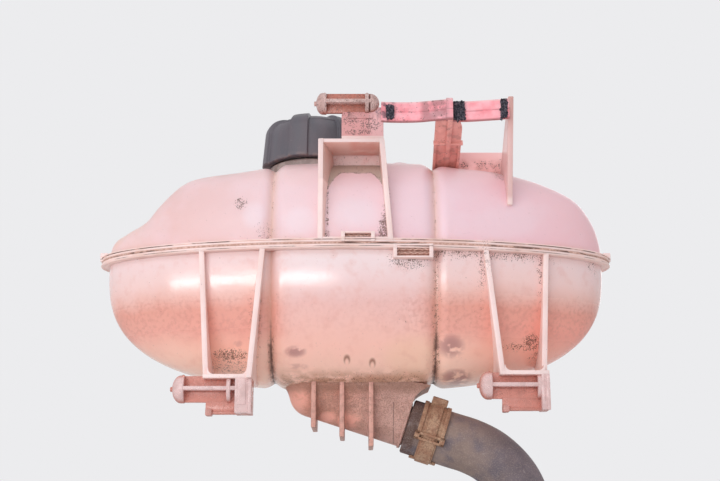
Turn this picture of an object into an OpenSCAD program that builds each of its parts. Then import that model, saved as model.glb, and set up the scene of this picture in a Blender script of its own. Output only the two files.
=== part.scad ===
// Coolant expansion tank for a car: two welded plastic halves with their moulded
// brackets and locating pegs, a screw cap with its valves, and the outlet hose.
// Every piece is drawn round the middle of the weld plane, with X along the tank,
// -Y to the front and Z up, and is then moved so that the origin is the left peg.

/* [Tank] */
// Half length of the weld flange
flange_a = 164; // [150:1:180]
// Half depth of the weld flange
flange_b = 60; // [56:1:66]
// How far the flange stands out from the wall
flange_lip = 5.5; // [4:0.5:7]
// Thickness of each flange
flange_t = 2.5; // [2:0.1:3.5]
// Half height of the recess between the two flanges
seam_gap = 0.5; // [0.3:0.1:0.8]
// Wall thickness of both halves
wall = 3; // [2.4:0.1:3.6]
// Height of the upper half at the middle chamber
crown_h = 64; // [60:1:68]
// Depth of the lower half
belly_h = 81; // [76:1:86]
// Depth of the grooves between the chambers
groove_depth = 4; // [2:0.5:5]
// Half width of a groove
groove_w = 8; // [6:0.5:10]
// Place of the left groove along the tank
groove_left_x = -51; // [-56:1:-48]
// Place of the right groove along the tank
groove_right_x = 49; // [46:1:54]
// Thickness of the webs inside the grooves
web_t = 2.4; // [2:0.2:3]
// Height of the flow holes in the webs
web_hole_h = 26; // [16:1:30]
// Width of the flow holes in the webs
web_hole_w = 50; // [30:1:60]

/* [Filler neck] */
// Place of the neck along the tank
neck_x = -28; // [-29:0.5:-27]
// Place of the neck from front to back
neck_y = 6; // [4:1:8]
// Outer radius of the neck
neck_r = 24; // [23:0.25:25]
// Radius of the neck's bore
neck_bore_r = 19.5; // [18.5:0.25:20]
// Height of the neck above the crown
neck_h = 19; // [18:0.5:21]
// Radius of the collar round the foot of the neck
collar_r = 29; // [28:0.5:31]
// Gap between the crown and the cap
cap_gap = 1.7; // [1.2:0.1:3]

/* [Cap] */
// Radius of the cap at its lower edge
cap_r = 34; // [33:0.25:35]
// Radius of the cap at its upper edge
cap_top_r = 30.5; // [30:0.25:31.5]
// Height of the cap
cap_h = 30; // [29:0.5:32]
// Thickness of the cap's top
cap_top_t = 3; // [2.5:0.1:4]
// Room for the thread between the neck and the cap's skirt
thread_room = 3.2; // [3:0.1:3.6]
// How far the grip lobes stand out
lobe_h = 1.6; // [1:0.1:2.5]
// Number of grip lobes
lobe_count = 6; // [5:1:8]
// Width of one grip lobe in degrees
lobe_angle = 28; // [20:1:34]

/* [Valves] */
// Gap between the neck's bore and the valve housing's stem
stem_gap = 0.9; // [0.6:0.1:1.2]
// Radius of the bore that holds the relief valve
housing_bore_r = 14; // [13.5:0.1:14.4]
// Length of the housing's stem below the neck's rim
stem_l = 21; // [20:0.5:23]
// Thickness of the housing's floor, which is the valve seat
seat_t = 2.5; // [2:0.1:3]
// Radius of the hole in the valve seat
seat_hole_r = 7; // [6.5:0.25:7.5]
// Thickness of the housing's flange
housing_flange_t = 2.6; // [2.4:0.1:3]
// Thickness of the seal between neck and housing
gasket_t = 1.2; // [1:0.1:1.5]
// Cross section diameter of the stem's two sealing rings
o_ring_d = 2.6; // [2.4:0.1:2.8]
// Radius of the relief valve's plate
relief_r = 11.5; // [11:0.25:12]
// Thickness of the relief valve's plate
relief_t = 2; // [1.8:0.1:2.4]
// Thickness of the relief valve's seal
relief_seal_t = 1.1; // [1:0.1:1.4]
// Wire diameter of the relief spring
relief_wire = 1.6; // [1.4:0.1:1.8]
// Thickness of the spring retainer
retainer_t = 2.2; // [2:0.1:2.6]
// Radius of the vacuum valve's plate
vacuum_r = 5; // [4.8:0.1:5.4]
// Thickness of the vacuum valve's plate
vacuum_t = 1.2; // [1:0.1:1.4]
// Wire diameter of the vacuum spring
vacuum_wire = 0.7; // [0.6:0.05:0.8]

/* [Brackets] */
// Thickness of the bracket walls
rib_t = 3.3; // [2.8:0.1:3.8]
// Thickness of the webs inside a peg
peg_web = 2.4; // [2:0.1:3]
// Width of the rings on a peg
ring_w = 3; // [2.5:0.25:4]
// Radius of the two lower pegs
lower_peg_r = 8.25; // [7.5:0.25:9]
// Radius of the upper peg
upper_peg_r = 6.75; // [6:0.25:7.25]
// How far the lower pegs' axis lies behind the flange's front edge
lower_peg_back = 16; // [13:1:18]
// How far the upper peg's axis lies behind the flange's front edge
upper_peg_back = 6; // [5:1:8]
// Height of the upper peg's axis above the box bracket
upper_peg_rise = 24.7; // [23:0.1:28]
// Height of the box bracket above the crown
box_rise = 1.3; // [1:0.1:3]
// Height of the strap
strap_h = 12; // [10:0.5:13]
// Thickness of the strap
strap_t = 2.2; // [1.8:0.1:2.6]

/* [Outlet and hose] */
// Place of the outlet's end face along the tank
outlet_x = 31.5; // [28:0.5:34]
// Drop of the outlet's axis below the lower half, at its end face
outlet_drop = 22.4; // [20:0.2:25]
// Length of the sump along its axis
sump_l = 62; // [58:1:64]
// Fall of the outlet below the horizontal in degrees
outlet_tilt = 18; // [16:1:20]
// Radius of the sump's rounded bottom
sump_r = 14; // [13.5:0.25:15.5]
// Outer radius of the spigot
spigot_r = 12.6; // [12:0.1:13]
// Radius of the spigot's bore
spigot_bore_r = 10; // [9:0.25:10.5]
// Length of the spigot beyond the sump
spigot_l = 32; // [26:1:34]
// Wall thickness of the hose
hose_wall = 3.8; // [3.4:0.1:4.2]
// Width of the hose clamp's band
clamp_w = 17; // [14:0.5:18]
// Thickness of the hose clamp's band
clamp_t = 1.2; // [1:0.1:1.6]

/* [Hidden] */
$fn = 96;

// Clearances: faces that seat, pieces that run in each other, and a cut's overrun
seat_clear = 0.1;
run_clear = 0.15;
over = 1;

wall_a = flange_a - flange_lip;
wall_b = flange_b - flange_lip;
section_power = 2.6;
belly_power = 2.9;
groove_xs = [groove_left_x, groove_right_x];
chambers = [[-wall_a, groove_left_x - web_t / 2],
  [groove_left_x + web_t / 2, groove_right_x - web_t / 2],
  [groove_right_x + web_t / 2, wall_a]];

// Outline of the upper half from the front, as shares of its half length and height
crown_outline = [[-1, 0], [-0.985, 0.18], [-0.93, 0.28], [-0.84, 0.41], [-0.79, 0.57],
  [-0.71, 0.77], [-0.64, 0.85], [-0.46, 0.91], [-0.36, 0.95], [-0.28, 0.985], [0, 1],
  [0.28, 0.99], [0.42, 0.95], [0.55, 0.92], [0.68, 0.855], [0.8, 0.755], [0.9, 0.62],
  [0.96, 0.42], [0.99, 0.22], [1, 0]];

// Neck, from the crown up, and the cap round it
neck_root = 6;
neck_top = crown_h + neck_h;
collar_rise = 0.7;
stem_r = neck_bore_r - stem_gap;
cap_bore_r = neck_r + thread_room;
cap_bottom = crown_h + cap_gap;
cap_top = cap_bottom + cap_h;
cap_ceiling = cap_top - cap_top_t;
cap_slope = (cap_r - cap_top_r) / cap_h;
cap_edge = 3;
cap_round = 0.8;
lobe_start = -120;

// Boss on the crown behind the strap
crown_boss = [29, 2];
crown_boss_r = 9;
crown_boss_h = 4;

// Pegs: the small nub on each nose, and how far their webs lie inside the rings
peg_nub = 1.2;
peg_nub_r = 1.5;
web_inset = 0.4;
nose_steps = [20:10:90];

// Lower brackets: x of both legs at the flange, x of both feet, x of the peg's tip,
// the far ring's distance from the tip, x of the end block, and drop below the lower half
left_bracket = [[-93.6, -55.9], [-88.6, -62.6], -110, 34, -70.9, 5.4];
right_bracket = [[79.1, 117.1], [87.3, 113.3], 72.5, 35.5, 110, 3.2];
lower_peg_y = -flange_b + lower_peg_back;
bar_t = 2.6;
bar_front_y = lower_peg_y - lower_peg_r;
bar_back_y = lower_peg_y + lower_peg_r;
leg_back_y = -8;
leg_inset = 0.4;
under_web_h = 6.5;
foot_w = 4;
foot_d = 7;

// Middle of the left peg's front ring, where the origin lies
left_ring = [left_bracket[2] + peg_nub + lower_peg_r + ring_w / 2, lower_peg_y,
  -belly_h - left_bracket[5]];

// Box bracket over the middle chamber, x of its two walls at the flange end and the far end,
// and the plate that carries the upper peg
box_top = crown_h + box_rise;
box_front_y = -flange_b + 0.5;
box_back_y = -8;
box_left = [-21.2, -10];
box_right = [21.4, 16.2];
box_ceiling_t = 2.6;
peg_plate_x = [-8.5, 17.4];
upper_peg_tip = -25.6;
upper_ring_far = 31.6;
upper_peg_y = -flange_b + upper_peg_back;
upper_peg_z = box_top + upper_peg_rise;

// Strap beside the upper peg: x and distance in front of the peg's axis along its front face
strap_left = [[16, 2.5], [26, 1.5], [38, 2], [48, 4.5], [58, 8]];
strap_right = [[57.5, 3], [68, 3], [80, 5], [94.5, 9]];
strap_low = upper_peg_z - strap_h;
strap_post_x = 58.6;
strap_brace_x = [49.6, 66.6];
end_post_x = 95.6;
end_post_knee = 14;
end_post_drop = 36;
end_post_foot = [19.5, 29];
crown_post_y = -10;
post_root = 6;
post_top = 5;
low_wall_h = 8;
low_wall_t = 2.2;

// Foam pads on the strap: where each one starts and ends, its thickness and its share of the height
foam_t = 1.6;
foam_left_x = [19, 24];
foam_middle_x = [strap_post_x + rib_t / 2 + 3 * seat_clear, 67.5];
foam_right_x = [89.5, 93];
foam_share = 0.95;
foam_small_share = 0.6;

// Clip windows on the two flanges: x of both ends, height and wall
upper_clip_x = [-8.5, 11.9];
upper_clip_h = 6.9;
lower_clip_x = [22.8, 46.9];
lower_clip_h = 9.2;
clip_side = 2.4;
clip_depth = 7;

// Tabs at the two ends of the upper flange: length, width, height above the flange
end_tab = [4, 6, 1.5];

// Sump under the middle chamber, and the ribs across it
outlet_depth = belly_h + outlet_drop;
sump_wall = 2.8;
sump_rise = 24;
sump_steps = 28;
sump_rib_xs = [-25.6, -8.2, 9.7];
sump_rib_t = 3;
sump_rib_y = 20;
sump_rib_drop = 8.2;
sump_rib_root = 14;
sump_rib_corner = 6;

// Valve housing in the neck, its seals and the clip that holds it in the cap
gasket_in_r = neck_bore_r + 0.7;
gasket_out_r = neck_r - 0.6;
flange_low = neck_top + seat_clear + gasket_t;
flange_high = flange_low + housing_flange_t;
housing_flange_r = neck_r + 1.8;
housing_edge = 0.8;
clip_t = 1.4;
clip_in_r = neck_r + 0.4;
clip_out_r = cap_bore_r + 0.7;
clip_low = flange_low - seat_clear - clip_t;
hold_r = [19, 22];
stem_foot = neck_top - stem_l;
seat_top = stem_foot + seat_t;
o_ring_lower_z = neck_top - 13;
o_ring_upper_z = neck_top - 6;
o_ring_mid_r = neck_bore_r - run_clear - o_ring_d / 2;
retainer_r = housing_bore_r + 1.9;
retainer_low = flange_high - retainer_t;
retainer_boss_r = 5;
retainer_boss_h = 3;
vent_r = 1.5;
vent_ring_r = 9.5;

// Relief valve on its seat, and the vacuum valve in its middle
relief_low = seat_top + seat_clear + relief_seal_t;
relief_top = relief_low + relief_t;
relief_seal_in_r = seat_hole_r + 0.5;
relief_seal_out_r = relief_r - 1;
relief_coil_r = 9.2;
relief_turns = 5.5;
hub_r = 2.6;
hub_h = 2.5;
pin_r = 1.5;
bleed_r = 0.7;
bleed_ring_r = 3.9;
vacuum_seal_t = 0.8;
vacuum_top = relief_low - seat_clear - vacuum_seal_t;
vacuum_head_z = relief_top + 6.8;
vacuum_head_r = 3.8;
vacuum_head_t = 1;
vacuum_coil_r = 3.2;
vacuum_turns = 5;
coil_steps = 14;
coil_sides = 6;

// Hose: its route as x and z from its own start, in the upright plane of the outlet
hose_sides = 12;
hose_in_r = (spigot_r + run_clear) / cos(180 / hose_sides);
hose_r = hose_in_r + hose_wall;
hose_gap = 1;
hose_route = [[0, 0], [14, -4.5], [28, -9], [39, -12.5], [50, -18], [59, -25.5], [66, -34.5],
  [70.5, -45], [73, -56], [74, -68], [74, -85], [74, -105], [74, -125], [74, -145], [74, -165]];

// Clamp: its place along the hose, the tongue, its ear and the cross piece, with their angles
clamp_place = 6.5;
clamp_bore_r = hose_r + run_clear;
tongue_t = 1.9;
tongue_w = 0.4 * clamp_w;
tongue_angles = [205, 290];
ear_h = 6;
ear_t = 2.4;
ear_w = 0.6 * clamp_w;
cross_angle = 285;
cross_w = 5;
cross_h = 3;

function superellipse(t, power) = pow(max(0, 1 - pow(abs(t), power)), 1 / power);

// Height along a smooth curve through a list of points
function slope_at(pts, i) = i == 0 || i == len(pts) - 1 ? 0
  : (pts[i + 1][1] - pts[i - 1][1]) / (pts[i + 1][0] - pts[i - 1][0]);
function curve_at(pts, x, i = 0) =
  i < len(pts) - 2 && x > pts[i + 1][0] ? curve_at(pts, x, i + 1)
  : let (w = pts[i + 1][0] - pts[i][0], t = min(1, max(0, (x - pts[i][0]) / w)),
      m0 = i == 0 ? 2 * (pts[1][1] - pts[0][1]) / w : slope_at(pts, i),
      m1 = i == len(pts) - 2 ? 2 * (pts[i + 1][1] - pts[i][1]) / w : slope_at(pts, i + 1))
    (2 * t * t * t - 3 * t * t + 1) * pts[i][1] + (t * t * t - 2 * t * t + t) * w * m0
    + (3 * t * t - 2 * t * t * t) * pts[i + 1][1] + (t * t * t - t * t) * w * m1;

function groove_at(x, xg) = abs(x - xg) >= groove_w ? 0
  : groove_depth * (1 + cos(180 * (x - xg) / groove_w)) / 2;
function groove(x) = groove_at(x, groove_xs[0]) + groove_at(x, groove_xs[1]);

// Half depth and height of the wall at x, set in from the outer face
function half_depth(x, inset) =
  let (t = x / (wall_a - inset))
  max(0, (wall_b - inset) * sqrt(max(0, 1 - t * t)) - (abs(t) < 1 ? groove(x) : 0));
function half_height(x, inset, upper) =
  let (t = max(-1, min(1, x / (wall_a - inset))))
  max(0, upper ? (crown_h - inset) * curve_at(crown_outline, t) - groove(x)
    : (belly_h - inset) * superellipse(t, belly_power) - groove(x));

function turned(faces) = [for (f = faces) [for (i = [len(f) - 1:-1:0]) f[i]]];

// Places of the sections between x0 and x1: close together at the ends and in the grooves
end_share = [1, 0.996, 0.985, 0.965, 0.935, 0.895, 0.845, 0.785, 0.71, 0.63, 0.54, 0.45];
groove_share = [-1, -0.7, -0.4, 0, 0.4, 0.7, 1];
middle_count = 6;
function stations(inset) = let (a = wall_a - inset, xl = groove_xs[0], xr = groove_xs[1])
  concat([for (s = end_share) if (-s * a < xl - groove_w - 3) -s * a],
    [for (s = groove_share) xl + s * groove_w],
    [for (i = [1:middle_count]) xl + groove_w
      + i * (xr - xl - 2 * groove_w) / (middle_count + 1)],
    [for (s = groove_share) xr + s * groove_w],
    [for (i = [len(end_share) - 1:-1:0])
      if (end_share[i] * a > xr + groove_w + 3) end_share[i] * a]);
function stations_between(inset, x0, x1) = concat([x0],
  [for (x = stations(inset)) if (x > x0 + 0.4 && x < x1 - 0.4) x], [x1]);

section_steps = 16;
function section(x, inset, upper, drop) =
  let (b = half_depth(x, inset), h = half_height(x, inset, upper), up = upper ? 1 : -1)
  [for (j = [0:section_steps])
    let (a = 180 * j / section_steps, c = -cos(a), s = sin(a))
    [x, b * sign(c) * pow(abs(c), 2 / section_power),
      j == 0 || j == section_steps ? -up * drop : up * h * pow(s, 2 / section_power)]];

// Front edge of the weld flange at x
function flange_front(x) = -flange_b * sqrt(1 - pow(x / flange_a, 2));

// Solid under one half's wall from x0 to x1, closed by flat ends and the weld plane
module half_solid(inset, upper, drop, x0, x1) {
  a = wall_a - inset;
  xs = stations_between(inset, max(x0, -a + 0.15), min(x1, a - 0.15));
  n = len(xs);
  m = section_steps + 1;
  points = [for (x = xs) each section(x, inset, upper, drop)];
  sides = [for (i = [0:n - 2], j = [0:m - 1])
    let (k = (j + 1) % m)
    each [[i * m + j, i * m + k, (i + 1) * m + j],
      [i * m + k, (i + 1) * m + k, (i + 1) * m + j]]];
  ends = [[for (j = [0:m - 1]) m - 1 - j], [for (j = [0:m - 1]) (n - 1) * m + j]];
  faces = concat(sides, ends);
  polyhedron(points = points, faces = upper ? faces : turned(faces), convexity = 6);
}

module in_peg_frame() {
  translate(-left_ring) children();
}

ellipse_steps = 72;
module ellipse(a, b) {
  polygon([for (i = [0:ellipse_steps - 1])
    let (t = 360 * i / ellipse_steps) [a * cos(t), b * sin(t)]]);
}

module flange_ring() {
  linear_extrude(flange_t) difference() {
    ellipse(flange_a, flange_b);
    ellipse(wall_a - wall / 2, wall_b - wall / 2);
  }
}

// Inside of one half: one hollow for each chamber, which leaves the webs standing
module half_hollow(upper) {
  for (c = chambers) half_solid(wall, upper, over, c[0], c[1]);
  for (xg = groove_xs)
    translate([xg - web_t, -web_hole_w / 2, upper ? -over : -web_hole_h])
      cube([2 * web_t, web_hole_w, web_hole_h + over]);
}

// Wall standing upright between two points of the plan
module plan_wall(p, q, t, z0, z1) {
  d = (q - p) / norm(q - p);
  n = [-d[1], d[0]] * t / 2;
  translate([0, 0, z0]) linear_extrude(z1 - z0) polygon([p - n, q - n, q + n, p + n]);
}

// Wall seen edge on from the front, leaning from one height to another
module front_wall(x0, z0, x1, z1, t, y0, y1) {
  translate([0, y1, 0]) rotate([90, 0, 0]) linear_extrude(y1 - y0)
    polygon([[x0 - t / 2, z0], [x0 + t / 2, z0], [x1 + t / 2, z1], [x1 - t / 2, z1]]);
}

// Wall standing across the tank, drawn from the side as points of depth and height
module side_wall(x, t, points) {
  translate([x + t / 2, 0, 0]) rotate([90, 0, -90]) linear_extrude(t)
    polygon([for (p = points) [-p[0], p[1]]]);
}

module box_from(lo, hi) {
  translate(lo) cube(hi - lo);
}

module ring(r_out, r_in, h) {
  difference() {
    cylinder(r = r_out, h = h);
    translate([0, 0, -over]) cylinder(r = r_in, h = h + 2 * over);
  }
}

// Peg along X with its tip at x = 0: a round nose, two rings and crossed webs
module peg(r, length, far_ring) {
  nose = peg_nub + r;
  half = peg_web / 2;
  rotate([0, 90, 0]) {
    rotate_extrude() polygon(concat([[0, 0], [peg_nub_r, 0], [peg_nub_r, peg_nub]],
      [for (a = nose_steps) [r * sin(a), nose - r * cos(a)]],
      [[r, nose + ring_w], [0, nose + ring_w]]));
    translate([0, 0, far_ring]) cylinder(r = r, h = ring_w);
  }
  box_from([nose, -half, -r + web_inset], [length, half, r - web_inset]);
  box_from([nose, -r + web_inset, -half], [length, r - web_inset, half]);
}

// Lower bracket: legs, bar, peg, end block, and the web under the peg with its foot
module lower_bracket(b) {
  tops = b[0];
  feet = b[1];
  peg_z = -belly_h - b[5];
  bar_z = peg_z + lower_peg_r;
  root = feet[1] + rib_t / 2;
  foot_z = peg_z - lower_peg_r - under_web_h;
  for (i = [0, 1])
    front_wall(feet[i], bar_z - bar_t, tops[i], -seam_gap - flange_t / 2, rib_t,
      flange_front(tops[i]) + leg_inset, leg_back_y);
  box_from([feet[0] - rib_t / 2, bar_front_y, bar_z - bar_t], [root, bar_back_y, bar_z]);
  translate([b[2], lower_peg_y, peg_z]) peg(lower_peg_r, root - b[2] - over, b[3]);
  box_from([b[4], bar_front_y, foot_z], [root, bar_back_y, bar_z - bar_t / 2]);
  box_from([feet[0], lower_peg_y - peg_web / 2, foot_z],
    [root - over, lower_peg_y + peg_web / 2, peg_z - lower_peg_r + over]);
  box_from([feet[0], lower_peg_y - foot_d / 2, foot_z - over],
    [feet[0] + foot_w, lower_peg_y + foot_d / 2, foot_z + under_web_h / 2]);
}

module box_bracket() {
  floor_z = seam_gap + flange_t / 2;
  left = box_left - [rib_t, rib_t] / 2;
  right = box_right[1] + rib_t / 2;
  plan_wall([box_left[0], box_front_y], [box_left[1], box_back_y], rib_t, floor_z, box_top);
  front_wall(box_right[0], floor_z, box_right[1], box_top, rib_t, box_front_y, box_back_y);
  translate([0, 0, box_top - box_ceiling_t]) linear_extrude(box_ceiling_t)
    polygon([[left[0], box_front_y], [right, box_front_y], [right, box_back_y], [left[1], box_back_y]]);
}

// Upper peg with its carrying plate
module upper_peg_arm() {
  translate([upper_peg_tip, upper_peg_y, upper_peg_z])
    peg(upper_peg_r, peg_plate_x[1] - upper_peg_tip - over, upper_ring_far);
  box_from([peg_plate_x[0], upper_peg_y - rib_t / 2, box_top - over],
    [peg_plate_x[1], upper_peg_y + rib_t / 2, upper_peg_z - upper_peg_r + over]);
}

// Strap's front face in the plan, and its plan outline from there back by t
function strap_face(run) = [for (p = run) [p[0], upper_peg_y - p[1]]];
module strap_run(run) {
  face = strap_face(run);
  translate([0, 0, strap_low]) linear_extrude(strap_h)
    polygon(concat(face, [for (i = [len(face) - 1:-1:0]) face[i] + [0, strap_t]]));
}

// Strap with its brace, middle post, end post and the low wall on the crown
module strap_frame() {
  high = strap_low + strap_h;
  root_z = crown_h - post_root;
  mid_y = strap_face(strap_left)[len(strap_left) - 1][1];
  end_y = strap_face(strap_right)[len(strap_right) - 1][1];
  strap_run(strap_left);
  strap_run(strap_right);
  side_wall(strap_post_x, rib_t, [[mid_y, high], [mid_y + post_top, high],
    [crown_post_y, crown_h], [crown_post_y - strap_t, root_z], [mid_y + over, strap_low]]);
  side_wall((strap_brace_x[0] + strap_brace_x[1]) / 2, strap_brace_x[1] - strap_brace_x[0],
    [[mid_y + post_top, strap_low + over], [mid_y + post_top, strap_low + over + strap_t],
    [crown_post_y, root_z + strap_t], [crown_post_y - strap_t, root_z]]);
  side_wall(end_post_x, rib_t, [[end_y - over, high + over], [end_y + post_top, high + over],
    [crown_post_y, root_z], [crown_post_y, crown_h - end_post_knee],
    [end_y + end_post_foot[1], crown_h - end_post_drop],
    [end_y + end_post_foot[0], crown_h - end_post_drop]]);
  box_from([strap_post_x, crown_post_y - low_wall_t, root_z - 2],
    [end_post_x, crown_post_y, crown_h + low_wall_h]);
}

// Rectangular clip window on a flange's front edge
module clip_window(xs, h) {
  y = flange_front((xs[0] + xs[1]) / 2) - over / 2;
  difference() {
    box_from([xs[0], y, seam_gap], [xs[1], y + clip_depth, h]);
    box_from([xs[0] + clip_side, y - over, seam_gap + clip_side / 2],
      [xs[1] - clip_side, y + clip_depth - clip_side, h - clip_side / 2]);
  }
}

module end_tabs() {
  for (side = [-1, 1]) translate([side * (flange_a - end_tab[0] / 2), 0, seam_gap])
    translate([-end_tab[0] / 2, -end_tab[1], 0]) cube([end_tab[0], end_tab[1], flange_t + end_tab[2]]);
}

module outlet_frame() {
  translate([outlet_x, 0, -outlet_depth]) rotate([0, 90 + outlet_tilt, 0]) children();
}

// Rounded trough of the sump, closed by a round end on the left
module sump_body(r, l0, l1) {
  outlet_frame() hull() {
    for (up = [0, sump_rise]) translate([-up, 0, 0]) {
      translate([0, 0, l0]) sphere(r = r, $fn = sump_steps);
      translate([0, 0, l1 - over]) cylinder(r = r, h = over, $fn = sump_steps);
    }
  }
}

// Rib across the sump, down to a set drop below its sloping underside
module sump_rib(x) {
  z = -outlet_depth - (x - outlet_x) * tan(outlet_tilt) - sump_r / cos(outlet_tilt) - sump_rib_drop;
  root_z = -belly_h + sump_rib_root;
  side_wall(x, sump_rib_t, [[-sump_rib_y, root_z], [sump_rib_y, root_z],
    [sump_rib_y, z + sump_rib_corner], [sump_rib_y - sump_rib_corner, z], [-sump_rib_y, z]]);
}

module upper_shell() {
  color("#f0d4d8") in_peg_frame() difference() {
    union() {
      half_solid(0, true, 0, -wall_a, wall_a);
      translate([0, 0, seam_gap]) flange_ring();
      translate([neck_x, neck_y, crown_h - neck_root]) {
        cylinder(r = neck_r, h = neck_h + neck_root);
        cylinder(r = collar_r, h = collar_rise + neck_root);
      }
      translate([crown_boss[0], crown_boss[1], crown_h - neck_root])
        cylinder(r = crown_boss_r, h = crown_boss_h + neck_root);
      box_bracket();
      upper_peg_arm();
      strap_frame();
      clip_window(upper_clip_x, upper_clip_h);
      end_tabs();
    }
    half_hollow(true);
    translate([neck_x, neck_y, crown_h - 2 * wall]) cylinder(r = neck_bore_r, h = neck_h + 3 * wall);
  }
}

module lower_shell() {
  color("#eab4a6") in_peg_frame() difference() {
    union() {
      half_solid(0, false, 0, -wall_a, wall_a);
      mirror([0, 0, 1]) translate([0, 0, seam_gap]) flange_ring();
      sump_body(sump_r, -sump_l, 0);
      outlet_frame() translate([0, 0, -over]) cylinder(r = spigot_r, h = spigot_l + over);
      for (x = sump_rib_xs) sump_rib(x);
      lower_bracket(left_bracket);
      lower_bracket(right_bracket);
      mirror([0, 0, 1]) clip_window(lower_clip_x, lower_clip_h);
    }
    half_hollow(false);
    sump_body(sump_r - sump_wall, -sump_l, -sump_wall);
    outlet_frame() translate([0, 0, -2 * sump_wall])
      cylinder(r = spigot_bore_r, h = spigot_l + 3 * sump_wall);
  }
}

// Tube swept along points of one upright plane, open at both ends
function route_dir(p, i) =
  let (a = p[max(0, i - 1)], b = p[min(len(p) - 1, i + 1)]) (b - a) / norm(b - a);
function tube_ring(p, i, r, sides) = let (d = route_dir(p, i))
  [for (k = [0:sides - 1]) let (a = 360 * (k + 0.5) / sides)
    [p[i][0] - r * cos(a) * d[1], r * sin(a), p[i][1] + r * cos(a) * d[0]]];
module hose_tube(route, r_out, r_in, sides) {
  n = len(route);
  points = concat([for (i = [0:n - 1]) each tube_ring(route, i, r_out, sides)],
    [for (i = [0:n - 1]) each tube_ring(route, i, r_in, sides)]);
  b = n * sides;
  e = (n - 1) * sides;
  skins = [for (i = [0:n - 2], k = [0:sides - 1])
    let (q = (k + 1) % sides, u = i * sides, v = u + sides)
    each [[u + k, v + k, v + q, u + q], [b + u + k, b + u + q, b + v + q, b + v + k]]];
  rims = [for (k = [0:sides - 1]) let (q = (k + 1) % sides)
    each [[k, q, b + q, b + k], [e + q, e + k, b + e + k, b + e + q]]];
  polyhedron(points = points, faces = concat(skins, rims), convexity = 8);
}

module coolant_hose() {
  start = [outlet_x + hose_gap * cos(outlet_tilt), -outlet_depth - hose_gap * sin(outlet_tilt)];
  color("#5a5254") in_peg_frame()
    hose_tube([for (p = hose_route) start + p], hose_r, hose_in_r, hose_sides);
}

// Spring band clamp: a band, its tongue with an upright ear, and a cross piece
module hose_clamp() {
  face_r = clamp_bore_r + clamp_t / 2;
  mid = clamp_w / 2;
  color("#8a6a58") in_peg_frame() outlet_frame() translate([0, 0, hose_gap + clamp_place]) {
    ring(clamp_bore_r + clamp_t, clamp_bore_r, clamp_w);
    rotate([0, 0, tongue_angles[0]]) rotate_extrude(angle = tongue_angles[1] - tongue_angles[0])
      translate([face_r, mid - tongue_w / 2]) square([tongue_t, tongue_w]);
    rotate([0, 0, tongue_angles[0]]) translate([face_r, -ear_t / 2, mid - ear_w / 2])
      cube([ear_h, ear_t, ear_w]);
    rotate([0, 0, cross_angle]) translate([face_r, -cross_w / 2, -over])
      cube([cross_h, cross_w, clamp_w + 2 * over]);
  }
}

// Foam pad lying on the strap's front face
module foam_pad(run, xs, share) {
  face = strap_face(run);
  h = share * strap_h;
  front = [for (x = xs) [x, lookup(x, face) - seat_clear]];
  color("#3c3a3e") in_peg_frame() translate([0, 0, strap_low + (strap_h - h) / 2])
    linear_extrude(h) polygon([front[0], front[1], front[1] - [0, foam_t], front[0] - [0, foam_t]]);
}
module foam_left() { foam_pad(strap_left, foam_left_x, foam_small_share); }
module foam_middle() { foam_pad(strap_right, foam_middle_x, foam_share); }
module foam_right() { foam_pad(strap_right, foam_right_x, foam_share); }

// Cap: a conical skirt with rounded top edge, grip lobes, a groove for the clip and a ring
// inside the top that holds the valve housing down
module cap_shell() {
  side_r = cap_top_r + cap_slope * cap_edge;
  lobe_step = 360 / lobe_count;
  lobe_in_r = cap_bore_r - 2 * cap_edge;
  lobe_top = cap_top - cap_round;
  color("#5e5c62") in_peg_frame() translate([neck_x, neck_y, 0]) difference() {
    union() {
      rotate_extrude() polygon([[0, cap_bottom], [cap_r - lobe_h, cap_bottom],
        [side_r - lobe_h, cap_top - cap_edge], [cap_top_r - lobe_h - cap_round, cap_top - cap_round],
        [cap_top_r - lobe_h - cap_edge, cap_top], [0, cap_top]]);
      for (i = [0:lobe_count - 1]) rotate([0, 0, lobe_start + i * lobe_step])
        rotate_extrude(angle = lobe_angle) polygon([[cap_bore_r + over, cap_bottom + cap_round],
          [cap_r, cap_bottom + cap_round], [side_r, lobe_top - cap_edge],
          [cap_top_r - cap_round, lobe_top - cap_round], [cap_top_r - cap_edge, lobe_top],
          [lobe_in_r, lobe_top], [lobe_in_r, lobe_top - cap_round]]);
    }
    rotate_extrude() polygon([[0, cap_bottom - over], [cap_bore_r, cap_bottom - over],
      [cap_bore_r, clip_low - seat_clear], [clip_out_r + seat_clear, clip_low - seat_clear],
      [clip_out_r + seat_clear, clip_low + clip_t + seat_clear],
      [cap_bore_r, clip_low + clip_t + seat_clear], [cap_bore_r, cap_ceiling],
      [hold_r[1], cap_ceiling], [hold_r[1], flange_high + seat_clear],
      [hold_r[0], flange_high + seat_clear], [hold_r[0], cap_ceiling], [0, cap_ceiling]]);
  }
}

module cap_clip() {
  color("#8c8a8e") in_peg_frame() translate([neck_x, neck_y, clip_low])
    ring(clip_out_r, clip_in_r, clip_t);
}

// Valve housing: a cup that hangs in the neck by its flange, with a seat and two ring grooves
module valve_housing() {
  color("#35333a") in_peg_frame() translate([neck_x, neck_y, 0]) difference() {
    rotate_extrude() polygon([[seat_hole_r, stem_foot], [stem_r - housing_edge, stem_foot],
      [stem_r, stem_foot + housing_edge], [stem_r, flange_low], [housing_flange_r, flange_low],
      [housing_flange_r, flange_high], [retainer_r + seat_clear, flange_high],
      [retainer_r + seat_clear, retainer_low], [housing_bore_r, retainer_low],
      [housing_bore_r, seat_top], [seat_hole_r, seat_top]]);
    for (z = [o_ring_lower_z, o_ring_upper_z]) translate([0, 0, z - o_ring_d / 2 - seat_clear])
      ring(neck_bore_r + over, o_ring_mid_r - o_ring_d / 2 - seat_clear, o_ring_d + 2 * seat_clear);
  }
}

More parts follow.
